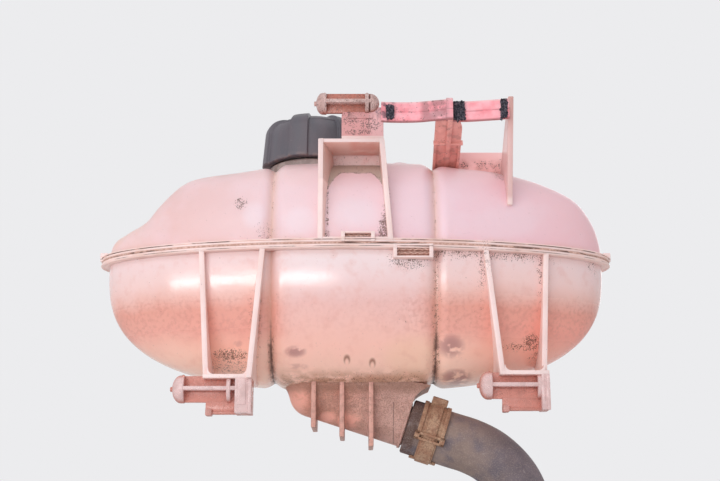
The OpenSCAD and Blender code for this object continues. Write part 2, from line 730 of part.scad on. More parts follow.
module o_ring(z) {
  color("#242226") in_peg_frame() translate([neck_x, neck_y, z])
    rotate_extrude() translate([o_ring_mid_r, 0]) circle(r = o_ring_d / 2, $fn = 32);
}
module o_ring_lower() { o_ring(o_ring_lower_z); }
module o_ring_upper() { o_ring(o_ring_upper_z); }

module neck_gasket() {
  color("#2c2a2e") in_peg_frame() translate([neck_x, neck_y, neck_top + seat_clear / 2])
    ring(gasket_out_r, gasket_in_r, gasket_t);
}

module spring_retainer() {
  color("#b8b6ba") in_peg_frame() translate([neck_x, neck_y, retainer_low]) difference() {
    union() {
      cylinder(r = retainer_r, h = retainer_t);
      translate([0, 0, -retainer_boss_h]) cylinder(r = retainer_boss_r, h = retainer_boss_h + over);
    }
    for (a = [0:90:270]) rotate([0, 0, a]) translate([vent_ring_r, 0, -over])
      cylinder(r = vent_r, h = retainer_t + 2 * over);
  }
}

// Compression spring with flat end turns, swept as a closed tube
function coil_rise(t, turns, span, wire) =
  let (tight = wire * 1.05, middle = (span - wire - 2 * tight) / (turns - 2))
  t < 1 ? t * tight : t > turns - 1 ? tight + (turns - 2) * middle + (t - turns + 1) * tight
    : tight + (t - 1) * middle;

module coil_spring(coil_r, wire, turns, span) {
  n = round(turns * coil_steps);
  points = [for (i = [0:n], k = [0:coil_sides - 1])
    let (t = turns * i / n, a = 360 * t, b = 360 * k / coil_sides, r = coil_r + wire / 2 * cos(b))
    [r * cos(a), r * sin(a), wire / 2 * (1 + sin(b)) + coil_rise(t, turns, span, wire)]];
  sides = [for (i = [0:n - 1], k = [0:coil_sides - 1]) let (q = (k + 1) % coil_sides)
    [i * coil_sides + k, i * coil_sides + q, (i + 1) * coil_sides + q, (i + 1) * coil_sides + k]];
  ends = [[for (k = [0:coil_sides - 1]) coil_sides - 1 - k],
    [for (k = [0:coil_sides - 1]) n * coil_sides + k]];
  polyhedron(points = points, faces = turned(concat(sides, ends)), convexity = 8);
}

module relief_spring() {
  color("#b4b2ae") in_peg_frame() translate([neck_x, neck_y, relief_top + seat_clear])
    coil_spring(relief_coil_r, relief_wire, relief_turns, retainer_low - relief_top - 2 * seat_clear);
}

module relief_valve() {
  color("#4a484e") in_peg_frame() translate([neck_x, neck_y, relief_low]) difference() {
    union() {
      cylinder(r = relief_r, h = relief_t);
      cylinder(r = hub_r, h = relief_t + hub_h);
    }
    translate([0, 0, -over]) cylinder(r = pin_r + seat_clear, h = relief_t + hub_h + 2 * over);
    for (a = [45:90:315]) rotate([0, 0, a]) translate([bleed_ring_r, 0, -over])
      cylinder(r = bleed_r, h = relief_t + 2 * over);
  }
}

module relief_seal() {
  color("#242226") in_peg_frame() translate([neck_x, neck_y, relief_low - relief_seal_t])
    ring(relief_seal_out_r, relief_seal_in_r, relief_seal_t);
}

module vacuum_valve() {
  color("#c8c6ca") in_peg_frame() translate([neck_x, neck_y, 0]) {
    translate([0, 0, vacuum_top - vacuum_t]) cylinder(r = vacuum_r, h = vacuum_t);
    translate([0, 0, vacuum_top - vacuum_t / 2])
      cylinder(r = pin_r, h = vacuum_head_z - vacuum_top + vacuum_t);
    translate([0, 0, vacuum_head_z]) cylinder(r = vacuum_head_r, h = vacuum_head_t);
  }
}

module vacuum_seal() {
  color("#242226") in_peg_frame() translate([neck_x, neck_y, vacuum_top])
    ring(vacuum_r - 0.2, pin_r + run_clear, vacuum_seal_t);
}

module vacuum_spring() {
  color("#b4b2ae") in_peg_frame() translate([neck_x, neck_y, relief_top + seat_clear])
    coil_spring(vacuum_coil_r, vacuum_wire, vacuum_turns, vacuum_head_z - relief_top - 2 * seat_clear);
}

upper_shell();
lower_shell();
coolant_hose();
hose_clamp();
foam_left();
foam_middle();
foam_right();
cap_shell();
cap_clip();
valve_housing();
o_ring_upper();
o_ring_lower();
neck_gasket();
spring_retainer();
relief_spring();
relief_valve();
relief_seal();
vacuum_valve();
vacuum_seal();
vacuum_spring();
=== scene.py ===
import math

import bmesh
import bpy
from mathutils import Matrix, Vector, noise


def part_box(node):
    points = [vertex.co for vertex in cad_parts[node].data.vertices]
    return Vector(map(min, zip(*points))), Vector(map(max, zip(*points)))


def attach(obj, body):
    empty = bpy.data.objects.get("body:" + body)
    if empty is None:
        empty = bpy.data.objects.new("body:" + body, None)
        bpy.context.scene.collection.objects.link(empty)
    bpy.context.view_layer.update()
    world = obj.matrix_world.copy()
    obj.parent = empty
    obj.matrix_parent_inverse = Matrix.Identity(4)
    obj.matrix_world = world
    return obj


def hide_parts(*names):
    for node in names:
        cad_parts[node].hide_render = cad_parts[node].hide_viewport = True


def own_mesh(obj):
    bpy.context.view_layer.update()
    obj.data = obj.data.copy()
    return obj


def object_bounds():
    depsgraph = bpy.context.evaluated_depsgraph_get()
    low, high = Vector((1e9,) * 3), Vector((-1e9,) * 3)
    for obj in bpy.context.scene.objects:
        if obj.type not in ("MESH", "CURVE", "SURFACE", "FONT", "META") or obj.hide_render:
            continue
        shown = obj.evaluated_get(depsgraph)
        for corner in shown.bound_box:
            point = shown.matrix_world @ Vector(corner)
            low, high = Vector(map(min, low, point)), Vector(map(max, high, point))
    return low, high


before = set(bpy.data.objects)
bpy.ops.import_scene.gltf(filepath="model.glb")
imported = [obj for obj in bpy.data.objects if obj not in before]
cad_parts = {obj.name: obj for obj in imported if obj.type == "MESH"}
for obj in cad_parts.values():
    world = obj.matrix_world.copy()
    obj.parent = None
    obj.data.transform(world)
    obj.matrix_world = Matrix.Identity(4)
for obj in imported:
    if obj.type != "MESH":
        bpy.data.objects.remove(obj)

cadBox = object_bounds()
lowerLow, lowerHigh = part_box("lower_shell")
# Middle of the weld plane: every mesh is drawn round it in millimetres
tankCentre = Vector(((lowerLow[0] + lowerHigh[0]) / 2, (lowerLow[1] + lowerHigh[1]) / 2, lowerHigh[2]))
toFrame = Matrix.Translation(tankCentre) @ Matrix.Scale(0.001, 4)


# Mesh helpers


def inFrame(x, y, z):
    return tuple(toFrame @ Vector((x, y, z)))


def moved(bm, matrix):
    bmesh.ops.transform(bm, matrix=matrix, verts=bm.verts)
    return bm


def rounded(bm, width, segments=2, sharpFrom=25):
    # softens every edge that turns more than sharpFrom degrees
    edges = [e for e in bm.edges
             if len(e.link_faces) == 2 and e.calc_face_angle() > math.radians(sharpFrom)]
    bmesh.ops.bevel(bm, geom=edges, offset=width, offset_type="OFFSET", segments=segments, profile=0.5,
                    affect="EDGES", clamp_overlap=True, material=-1)
    return bm


def around(degrees, axis="Z"):
    return Matrix.Rotation(math.radians(degrees), 4, axis)


def arc(middle, across, up, angles):
    # points of an ellipse, from angles in degrees
    return [(middle[0] + across * math.cos(math.radians(a)), middle[1] + up * math.sin(math.radians(a)))
            for a in angles]


def plate(outline, low, high, plane="xz", edge=0.5):
    # a closed outline in the named plane, thick from low to high on the third axis
    axis = {"yz": 0, "xz": 1, "xy": 2}[plane]
    bm = bmesh.new()
    corners = []
    for p in outline:
        spot = list(p)
        spot.insert(axis, low)
        corners.append(bm.verts.new(spot))
    face = bm.faces.new(corners)
    grown = bmesh.ops.extrude_face_region(bm, geom=[face])["geom"]
    step = Vector((0, 0, 0))
    step[axis] = high - low
    bmesh.ops.translate(bm, vec=step, verts=[g for g in grown if isinstance(g, bmesh.types.BMVert)])
    bmesh.ops.recalc_face_normals(bm, faces=bm.faces)
    return rounded(bm, edge) if edge else bm


def block(low, high, edge=0.5):
    bm = bmesh.new()
    bmesh.ops.create_cube(bm, size=1)
    size = [b - a for a, b in zip(low, high)]
    middle = [(a + b) / 2 for a, b in zip(low, high)]
    moved(bm, Matrix.Translation(middle) @ Matrix.Diagonal((*size, 1)))
    return rounded(bm, edge) if edge else bm


def turned(profile, steps=96, angle=360, closed=False, rise=0):
    # spins a profile of radius and height round Z
    bm = bmesh.new()
    verts = [bm.verts.new((r, 0, z)) for r, z in profile]
    edges = [bm.edges.new(pair) for pair in zip(verts, verts[1:])]
    if closed:
        edges.append(bm.edges.new((verts[-1], verts[0])))
    bmesh.ops.spin(bm, geom=verts + edges, cent=(0, 0, 0), axis=(0, 0, 1), dvec=(0, 0, rise / steps),
                   angle=math.radians(angle), steps=steps, use_merge=angle == 360 and not rise)
    bmesh.ops.remove_doubles(bm, verts=bm.verts, dist=0.001)
    if closed and (angle != 360 or rise):
        bmesh.ops.holes_fill(bm, edges=bm.edges, sides=0)
    bmesh.ops.recalc_face_normals(bm, faces=bm.faces)
    return bm


def mappedGrid(columns, rows, spotOf, fill=False):
    # a grid whose corners go to spotOf(column, row); corners that meet are merged
    bm = bmesh.new()
    bmesh.ops.create_grid(bm, x_segments=columns, y_segments=rows, size=1)
    for v in bm.verts:
        v.co = spotOf(round((v.co.x + 1) / 2 * columns), round((v.co.y + 1) / 2 * rows))
    bmesh.ops.remove_doubles(bm, verts=bm.verts, dist=0.002)
    if fill:
        bmesh.ops.holes_fill(bm, edges=bm.edges, sides=0)
    bmesh.ops.recalc_face_normals(bm, faces=bm.faces)
    return bm


def meshOf(name, bm, materials=()):
    mesh = bpy.data.meshes.new(name)
    bm.to_mesh(mesh)
    bm.free()
    for material in materials:
        mesh.materials.append(material)
    return mesh


def joined(*groups):
    # one mesh from lists of parts, where the first list takes the first material, and so on
    bm = bmesh.new()
    for material, parts in enumerate(groups):
        for part in parts:
            for face in part.faces:
                face.material_index = material
            mesh = meshOf("part", part)
            bm.from_mesh(mesh)
            bpy.data.meshes.remove(mesh)
    return bm


def makePiece(name, bm, body, materials, nodes=(), sharpFrom=32):
    moved(bm, toFrame)
    mesh = meshOf(name, bm, materials)
    mesh.polygons.foreach_set("use_smooth", [True] * len(mesh.polygons))
    mesh.set_sharp_from_angle(angle=math.radians(sharpFrom))
    piece = bpy.data.objects.new(name, mesh)
    bpy.context.scene.collection.objects.link(piece)
    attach(piece, body)
    if nodes:
        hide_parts(*nodes)
    print(f"{name}: {len(mesh.polygons)} faces")
    return piece


# Material helpers


def tint(red, green, blue):
    # a colour as a paint program shows it, made linear
    linear = [c / 12.92 if c <= 0.04045 else ((c + 0.055) / 1.055) ** 2.4
              for c in (red / 255, green / 255, blue / 255)]
    return (*linear, 1)


class Wire:
    # one output in a material, so that masks are written as sums

    def __init__(self, finish, socket):
        self.finish = finish
        self.socket = socket

    def worked(self, operation, *values):
        return self.finish.node("ShaderNodeMath", {"operation": operation}, dict(enumerate(values)))

    def __add__(self, other):
        return self.worked("ADD", self, other)

    def __sub__(self, other):
        return self.worked("SUBTRACT", self, other)

    def __rsub__(self, other):
        return self.worked("SUBTRACT", other, self)

    def __mul__(self, other):
        return self.worked("MULTIPLY", self, other)

    def __truediv__(self, other):
        return self.worked("DIVIDE", self, other)

    def __abs__(self):
        return self.worked("ABSOLUTE", self)

    def __or__(self, other):
        # the larger of two values
        return self.worked("MAXIMUM", self, other)

    __radd__ = __add__
    __rmul__ = __mul__


class Finish:
    # builds one procedural material in millimetres round the weld plane

    def __init__(self, name, **constants):
        self.material = bpy.data.materials.new(name)
        self.material.use_nodes = True
        self.tree = self.material.node_tree
        self.shader = self.tree.nodes["Principled BSDF"]
        for socket, value in constants.items():
            self.shader.inputs[socket.replace("_", " ")].default_value = value
        where = self.node("ShaderNodeTexCoord", {}, {}, "Object")
        self.place = self.node("ShaderNodeMapping", {}, {
            "Vector": where, "Location": tuple(-1000 * c for c in tankCentre), "Scale": (1000, 1000, 1000)})
        self.facing = self.node("ShaderNodeTexCoord", {}, {}, "Normal")
        self.colour = None

    def node(self, kind, settings, values, out=0):
        made = self.tree.nodes.new(kind)
        for key, value in settings.items():
            if key == "stops":
                self.setStops(made.color_ramp, value)
            else:
                setattr(made, key, value)
        for key, value in values.items():
            if isinstance(value, Wire):
                self.tree.links.new(value.socket, made.inputs[key])
            else:
                made.inputs[key].default_value = value
        return Wire(self, made.outputs[out])

    def setStops(self, ramp, stops):
        while len(ramp.elements) < len(stops):
            ramp.elements.new(1)
        for element, (position, colour) in zip(ramp.elements, stops):
            element.position = position
            element.color = colour

    def axis(self, name, of=None):
        return self.node("ShaderNodeSeparateXYZ", {}, {0: of or self.place}, name)

    def cloud(self, size, detail=2, stretch=None, bend=0):
        where = self.place
        if stretch:
            where = self.node("ShaderNodeVectorMath", {"operation": "MULTIPLY"}, {0: where, 1: stretch})
        return self.node("ShaderNodeTexNoise", {}, {
            "Vector": where, "Scale": 1 / size, "Detail": detail, "Distortion": bend})

    def smooth(self, value, low, high):
        return self.node("ShaderNodeMapRange", {"interpolation_type": "SMOOTHSTEP"},
                         {"Value": value, "From Min": low, "From Max": high})

    def near(self, value, middle, reach):
        # 1 at the middle, 0 from reach on
        return self.smooth(abs(value - middle), reach, 0)

    def between(self, value, low, high, soft):
        return self.smooth(value, low - soft, low + soft) * self.smooth(value, high + soft, high - soft)

    def spot(self, x, z, reachX, reachZ):
        # a soft ellipse as the front shows it
        across = (self.axis("X") - x) / reachX
        up = (self.axis("Z") - z) / reachZ
        return self.smooth(across * across + up * up, 1, 0)

    def specks(self, size, amount):
        # small dots, more of them as amount goes from 0 to 1
        spread = self.cloud(size, 3) * 0.7 + self.cloud(size * 4, 2) * 0.3
        return self.smooth(spread + amount * 0.25, 0.67, 0.74)

    def patches(self, size, detail, low, high):
        return self.smooth(self.cloud(size, detail), low, high)

    def mix(self, share, first, second):
        # each colour is a wire, or red, green and blue up to 255
        first, second = [tint(*c) if isinstance(c, tuple) else c for c in (first, second)]
        return self.node("ShaderNodeMix", {"data_type": "RGBA"}, {0: share, 6: first, 7: second}, 2)

    def paint(self, share, colour):
        # lays a colour over what is there
        self.colour = self.mix(share, self.colour, colour)

    def ramp(self, value, stops):
        places = list(stops)
        low, high = places[0], places[-1]
        share = self.node("ShaderNodeMapRange", {}, {"Value": value, "From Min": low, "From Max": high})
        placed = [((p - low) / (high - low), tint(*colour)) for p, colour in stops.items()]
        return self.node("ShaderNodeValToRGB", {"stops": placed}, {0: share})

    def done(self, roughness, height=None, depth=0.2, metallic=None):
        # height is in shares of depth, which is in millimetres
        links = {"Base Color": self.colour, "Roughness": roughness, "Metallic": metallic}
        if height is not None:
            links["Normal"] = self.node("ShaderNodeBump", {}, {"Distance": depth / 1000, "Height": height})
        for socket, wire in links.items():
            if isinstance(wire, Wire):
                self.tree.links.new(wire.socket, self.shader.inputs[socket])
            elif wire is not None:
                self.shader.inputs[socket].default_value = wire
        return self.material


# Camera


cameraSet = {
    "place": (2.9, -776.2, -177.6),
    "tilt": 104,  # degrees, 90 is level
    "lens": 61.55,
}


def makeCamera():
    data = bpy.data.cameras.new("camera")
    data.lens = cameraSet["lens"]
    data.sensor_width = 36
    data.sensor_fit = "HORIZONTAL"
    data.clip_start = 0.01
    camera = bpy.data.objects.new("camera", data)
    camera.location = inFrame(*cameraSet["place"])
    camera.rotation_euler = (math.radians(cameraSet["tilt"]), 0, 0)
    bpy.context.scene.collection.objects.link(camera)
    bpy.context.scene.camera = camera


# Outlet hose


outlet = {
    "x": 31.5, "depth": 103.4, "tilt": 18,  # end face of the sump, degrees of fall
    "sumpLength": 62, "sumpRadius": 14, "sumpRise": 24,
    "spigotRadius": 12.6, "spigotBore": 10, "spigotLength": 32,
}
outletPlace = (Matrix.Translation((outlet["x"], 0, -outlet["depth"]))
               @ around(90 + outlet["tilt"], "Y"))

hose = {
    "gap": 1,  # between the sump's end face and the hose
    "bore": 13.0, "radius": 17.0, "edge": 0.8,
    "ringStep": 2.5, "sides": 48,
    # x and z from the hose's own start, as the solid has them
    "route": [(0, 0), (14, -4.5), (28, -9), (39, -12.5), (50, -18), (59, -25.5), (66, -34.5), (70.5, -45),
              (73, -56), (74, -68), (74, -85), (74, -105), (74, -125), (74, -145), (74, -165)],
}


def smoothRoute(points, step):
    # points a step apart along a smooth curve through the route, and its length
    dense = []
    for i in range(len(points) - 1):
        p0 = points[max(0, i - 1)]
        p1, p2 = points[i], points[i + 1]
        p3 = points[min(len(points) - 1, i + 2)]
        for k in range(20):
            t = k / 20
            dense.append(0.5 * (2 * p1 + (p2 - p0) * t + (2 * p0 - 5 * p1 + 4 * p2 - p3) * t ** 2
                                + (3 * p1 - p0 - 3 * p2 + p3) * t ** 3))
    dense.append(points[-1])
    lengths = [0]
    for a, b in zip(dense, dense[1:]):
        lengths.append(lengths[-1] + (b - a).length)
    count = round(lengths[-1] / step)
    spaced = []
    k = 0
    for i in range(count + 1):
        want = lengths[-1] * i / count
        while k < len(lengths) - 2 and lengths[k + 1] < want:
            k += 1
        spaced.append(dense[k].lerp(dense[k + 1], (want - lengths[k]) / (lengths[k + 1] - lengths[k])))
    return spaced, lengths[-1]


def hoseRubber():
    f = Finish("hoseRubber", Specular_IOR_Level=0.3)
    x, z = f.axis("X"), f.axis("Z")
    f.colour = f.mix(f.patches(30, 3, 0.38, 0.62), (100, 92, 100), (124, 112, 118))
    # brown dust from the clamp to the bend, dark and wet at the sump
    dust = f.smooth(x, 104, 62) * f.patches(13, 3, 0.3, 0.55)
    f.paint(dust * 0.65, (160, 137, 122))
    cloudy = f.patches(7, 4, 0.4, 0.7)
    f.paint(cloudy * 0.3, (104, 90, 94))
    fall = math.radians(outlet["tilt"])
    along = (x - outlet["x"]) * math.cos(fall) - (z + outlet["depth"]) * math.sin(fall)
    wet = f.smooth(along, 10, 6)
    f.paint(wet * f.patches(6, 3, 0.28, 0.5) * 0.8, (86, 62, 56))
    fine = f.patches(0.7, 3, 0.5, 0.64)
    f.paint(fine * 0.3, (176, 158, 150))
    scratch = f.smooth(f.cloud(0.9, 2, (0.12, 1, 0.25)), 0.67, 0.73)
    f.paint(scratch * 0.3, (176, 164, 162))
    return f.done(0.7 + dust * 0.15, f.cloud(0.7, 3) * 0.6 + f.cloud(3, 2) * 0.3, 0.15)


def makeHose():
    fall = math.radians(outlet["tilt"])
    gap = hose["gap"]
    start = Vector((outlet["x"] + gap * math.cos(fall), 0, -outlet["depth"] - gap * math.sin(fall)))
    path, length = smoothRoute([start + Vector((x, 0, z)) for x, z in hose["route"]], hose["ringStep"])
    last = len(path) - 1
    # ring by ring: the outside from the start to the end, then the bore back again
    radius, edge = hose["radius"], hose["edge"]
    rings = [(0, 0, radius - edge), (0, edge, radius)]
    rings += [(i, 0, radius) for i in range(1, last)]
    rings += [(last, -edge, radius), (last, 0, radius - edge)]
    rings += [(i, 0, hose["bore"]) for i in range(last, -1, -1)]
    rings.append(rings[0])

    def spotOf(column, row):
        i, shift, out = rings[column]
        ahead = (path[min(last, i + 1)] - path[max(0, i - 1)]).normalized()
        side = Vector((0, 1, 0))
        angle = math.tau * row / hose["sides"]
        return path[i] + ahead * shift + out * (side * math.cos(angle) + ahead.cross(side) * math.sin(angle))

    bm = mappedGrid(len(rings) - 1, hose["sides"], spotOf)
    piece = makePiece("coolantHose", bm, "tank", [hoseRubber()], ["coolant_hose"])
    route = [inFrame(*p) for p in path]
    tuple(route[0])
    length / 1000


# Both halves of the tank


tank = {
    "halfLength": 158.5, "halfDepth": 54.5, "crown": 64, "belly": 81, "wall": 3,
    "grooves": (-51, 49), "grooveDepth": 4, "grooveWidth": 8, "ridge": 0.5,
    "sectionPower": 2.6, "bellyPower": 2.9,
    # outline of the upper half from the front, as shares of its half length and height
    "outline": [(-1, 0), (-0.985, 0.18), (-0.93, 0.28), (-0.84, 0.41), (-0.79, 0.57), (-0.71, 0.77),
                (-0.64, 0.85), (-0.46, 0.91), (-0.36, 0.95), (-0.28, 0.985), (0, 1), (0.28, 0.99),
                (0.42, 0.95), (0.55, 0.92), (0.68, 0.855), (0.8, 0.755), (0.9, 0.62), (0.96, 0.42),
                (0.99, 0.22), (1, 0)],
    "columns": 100, "rows": 72,
}
flange = {
    "halfLength": 164, "halfDepth": 60, "thick": 2.5, "gap": 0.5, "inside": 7,
    "edge": 0.45, "steps": 288,
}
grooveSteps = (0, 0.35, 0.7, 1.1, 1.6, 2.2, 3, 4, 5.2, 6.5, 8)


def curveAt(points, x):
    # height of a smooth curve through points at x
    i = 0
    while i < len(points) - 2 and x > points[i + 1][0]:
        i += 1
    width = points[i + 1][0] - points[i][0]
    rise = points[i + 1][1] - points[i][1]
    t = min(1, max(0, (x - points[i][0]) / width))

    def slope(k):
        if k in (0, len(points) - 1):
            return 2 * rise / width
        return (points[k + 1][1] - points[k - 1][1]) / (points[k + 1][0] - points[k - 1][0])

    return (points[i][1] + (3 * t * t - 2 * t ** 3) * rise
            + (t ** 3 - 2 * t * t + t) * width * slope(i) + (t ** 3 - t * t) * width * slope(i + 1))


def grooveAt(x):
    # cheeks that meet in a crease, with a thin ridge at its bottom
    depth = 0
    for middle in tank["grooves"]:
        off = abs(x - middle)
        if off < tank["grooveWidth"]:
            cheek = (1 - off / tank["grooveWidth"]) ** 2
            depth += tank["grooveDepth"] * cheek - tank["ridge"] * math.exp(-(off / 0.5) ** 2)
    return depth


def halfDepth(x, inset=0):
    share = min(1, abs(x / (tank["halfLength"] - inset)))
    return max(0, (tank["halfDepth"] - inset) * math.sqrt(1 - share * share) - grooveAt(x))


def halfHeight(x, upper, inset=0):
    share = max(-1, min(1, x / (tank["halfLength"] - inset)))
    if upper:
        return max(0, (tank["crown"] - inset) * curveAt(tank["outline"], share) - grooveAt(x))
    power = tank["bellyPower"]
    return max(0, (tank["belly"] - inset) * (1 - abs(share) ** power) ** (1 / power) - grooveAt(x))


def flangeFront(x):
    return -flange["halfDepth"] * math.sqrt(1 - (x / flange["halfLength"]) ** 2)


def halfShell(upper):
    reach = tank["halfLength"]
    count = tank["columns"]
    places = {round(reach * math.sin(math.pi * k / count), 2) for k in range(-count // 2, count // 2 + 1)}
    places |= {round(reach * k / count, 2) for k in range(-count + 6, count - 5)}
    for middle in tank["grooves"]:
        places = {x for x in places if abs(x - middle) > tank["grooveWidth"]}
        places |= {middle + side * step for step in grooveSteps for side in (-1, 1)}
    xs = sorted(places)
    rows = tank["rows"]

    def spotOf(column, row):
        inside = row > rows and row != 2 * rows + 2
        inset = tank["wall"] if inside else 0
        x = xs[column] * (reach - inset) / reach
        angle = math.pi * ((2 * rows + 1 - row) if inside else row % (2 * rows + 2)) / rows
        c, s = -math.cos(angle), math.sin(angle)
        power = 2 / tank["sectionPower"]
        height = halfHeight(x, upper, inset) * max(0, s) ** power
        if s < 1e-6:
            height = 0
        depth = halfDepth(x, inset) * math.copysign(abs(c) ** power, c)
        return Vector((x, depth, height if upper else -height))

    return mappedGrid(len(xs) - 1, 2 * rows + 2, spotOf)


def flangeRing(profile):
    # profile points are distance out from the flange's edge, and height
    bm = turned([(100 + out, z) for out, z in profile], flange["steps"], closed=True)
    for v in bm.verts:
        angle = math.atan2(v.co.y, v.co.x)
        out = math.hypot(v.co.x, v.co.y) - 100
        v.co.x = (flange["halfLength"] + out) * math.cos(angle)
        v.co.y = (flange["halfDepth"] + out) * math.sin(angle)
    return bm


def flangeProfile(side):
    # three fine steps between the inner and the outer edge
    low, high, e = flange["gap"], flange["gap"] + flange["thick"], flange["edge"]
    line = low + 0.62 * (high - low)
    points = [(-flange["inside"], low), (-0.9, low), (-0.5, low + 0.3), (-0.5, line - 0.25),
              (-0.75, line), (0, line + 0.2), (0, high - e), (-e, high), (-1.7, high),
              (-1.9, high - 0.25), (-2.3, high - 0.25), (-2.5, high), (-flange["inside"], high)]
    return [(out, side * z) for out, z in points]


def peg(radius, noseLength, length, farRing):
    # along X with its tip at 0: a round nose with a nub, two rings and crossed webs
    nub, nubRadius, ring, web, inset = [webs[key] for key in ("nub", "nubRadius", "ring", "web", "inset")]
    nose = nub + noseLength
    profile = [(0, 0), (nubRadius - 0.3, 0), (nubRadius, 0.3), (nubRadius, nub)]
    profile += arc((0, nose), radius, noseLength, range(-74, 1, 6))
    profile += [(radius, nose + ring - 0.4), (radius - 0.4, nose + ring), (0, nose + ring)]
    second = [(0, farRing), (radius - 0.4, farRing), (radius, farRing + 0.4),
              (radius, farRing + ring - 0.4), (radius - 0.4, farRing + ring), (0, farRing + ring)]
    half = web / 2
    parts = [moved(turned(p, 48), around(90, "Y")) for p in (profile, second)]
    parts.append(block((nose, -half, inset - radius), (length, half, radius - inset), 0.4))
    parts.append(block((nose, inset - radius, -half), (length, radius - inset, half), 0.4))
    for x in (nose + ring / 2, farRing + ring / 2):
        # small gate mark on each ring
        parts.append(moved(turned([(0, 0.5), (0.6, 0.4), (0.9, 0), (0.9, -1)], 16),
                           Matrix.Translation((x, 0, radius))))
    return parts


webs = {"nub": 1.2, "nubRadius": 1.5, "ring": 2.4, "web": 2.4, "inset": 0.4}

boxBracket = {
    "top": 65.8, "front": -59.5, "back": -30, "wall": 3.3, "ceiling": 2.6,
    "leftFront": -21.2, "leftBack": -14.8, "rightLow": 21.4, "rightHigh": 16.2,
}
upperPeg = {
    "tip": -25.6, "y": -54, "z": 90, "radius": 6.75, "nose": 4.2, "farRing": 31.6, "plate": (-8.5, 17.4),
    "dome": 5.6,
}
strap = {
    "low": 77.8, "high": 90.4, "thick": 2.2, "crease": 0.45,
    # x, and distance in front of the peg's axis
    "left": [(16, 2.5), (26, 1.5), (38, 2), (48, 4.5), (58, 8)],
    "right": [(57.5, 3), (68, 3), (80, 5), (94.5, 9)],
    "postX": 58.6, "endX": 95.6, "braceX": (49.6, 66.6), "braceRound": 9,
    "crownY": -10, "lowWall": 8,
}
clipWindows = {
    "upper": (-8.5, 11.9, 6.9), "lower": (22.8, 46.9, 9.2),  # x of both ends, height
    "side": 2.4, "depth": 7,
}
neck = {
    "x": -28, "y": 6, "radius": 24, "bore": 19.5, "foot": 54, "top": 83, "collar": 29, "collarTop": 64.7,
    "threadRise": 3.6, "threadOut": 1.5, "threadTurns": 1.25, "threadLow": 70.5, "threadStart": 34.3775,
    "bossPlace": (29, 2, 59),
    "boss": [(9.6, 0), (9.5, 2.5), (9.1, 5), (8.2, 7.2), (6.8, 8.5), (5, 9), (0, 9)],
}
flangeTab = {"long": 4.5, "low": 0.5, "high": 6.2, "deep": 6}


def boxBracketParts():
    # walls, ceiling, back wall and sill stand a little apart where their faces would coincide
    b = boxBracket
    floor = flange["gap"] + flange["thick"] / 2
    half = b["wall"] / 2
    front, back, top = b["front"], b["back"], b["top"]
    p, q = Vector((b["leftFront"], front)), Vector((b["leftBack"], back + 0.2))
    along = (q - p).normalized()
    side = Vector((-along.y, along.x)) * half
    low, high = b["rightLow"], b["rightHigh"]
    inner = front + 0.15
    return [
        plate([p - side, q - side, q + side, p + side], floor, top, "xy", 0.45),
        plate([(low - half, floor), (low + half, floor), (high + half, top), (high - half, top)],
              front, back + 0.2, "xz", 0.45),
        plate([(b["leftFront"] - half + 0.6, inner), (high + half - 0.6, inner),
               (high + half - 0.2, back), (b["leftBack"] - half + 0.2, back)],
              top - b["ceiling"], top - 0.12, "xy", 0.45),
        block((b["leftBack"], back - b["wall"] + 0.3, tank["crown"] - 16),
              (high + half - 0.4, back - 0.15, top - 0.3), 0.45),
        # low sill along the flange, between the two walls
        block((b["leftFront"], inner, floor + 0.2), (low, inner + 2.85, floor + 1.9), 0.4)]


def upperPegParts():
    u = upperPeg
    place = Matrix.Translation((u["tip"], u["y"], u["z"]))
    start = u["farRing"] + webs["ring"]
    clear = [moved(part, place) for part in peg(u["radius"], u["nose"], start + 2, u["farRing"])]
    dome = [(0, start), *arc((0, start + 1), u["radius"] - 0.5, u["dome"], range(0, 91, 10))]
    clear.append(moved(turned(dome, 48), place @ around(90, "Y")))
    wall = boxBracket["wall"] / 2
    low = boxBracket["top"] - 1
    high = u["z"] - u["radius"] + 1
    left, right = u["plate"]
    outline = [(left, low), (right, low), (right, high + 1.5), (right - 1.5, high + 3),
               (right - 6, high + 3), (right - 6, high), (left + 1, high), (left, high - 2)]
    front = u["y"] - wall
    pad = block((left + 4.5, front - 0.7, high - 4.5), (right - 6.5, front + 1, high - 1), 0.4)
    return clear, [plate(outline, front, u["y"] + wall, "xz", 0.45), pad]


def strapSpot(run, x, up, back):
    # a point on the strap: share of its height, and distance behind its front face
    bulge = 0.5 * (2 * up - 1) ** 4 - strap["crease"] * (1 - min(1, abs(up - 0.5) / 0.06))
    y = upperPeg["y"] - curveAt(run, x) + back
    if back == 0:
        y -= bulge
    return Vector((x, y, strap["low"] + up * (strap["high"] - strap["low"])))


def strapRun(run):
    columns = 40
    ups = [0, 0.03, 0.1, 0.25, 0.44, 0.47, 0.5, 0.53, 0.56, 0.75, 0.9, 0.97, 1]
    first, last = run[0][0], run[-1][0]

    def spotOf(column, row):
        back = row >= len(ups) and row != 2 * len(ups)
        k = row % (2 * len(ups))
        k = 2 * len(ups) - 1 - k if back else k
        x = first + (last - first) * column / columns
        return strapSpot(run, x, ups[k], strap["thick"] if back else 0)

    return mappedGrid(columns, 2 * len(ups), spotOf, fill=True)


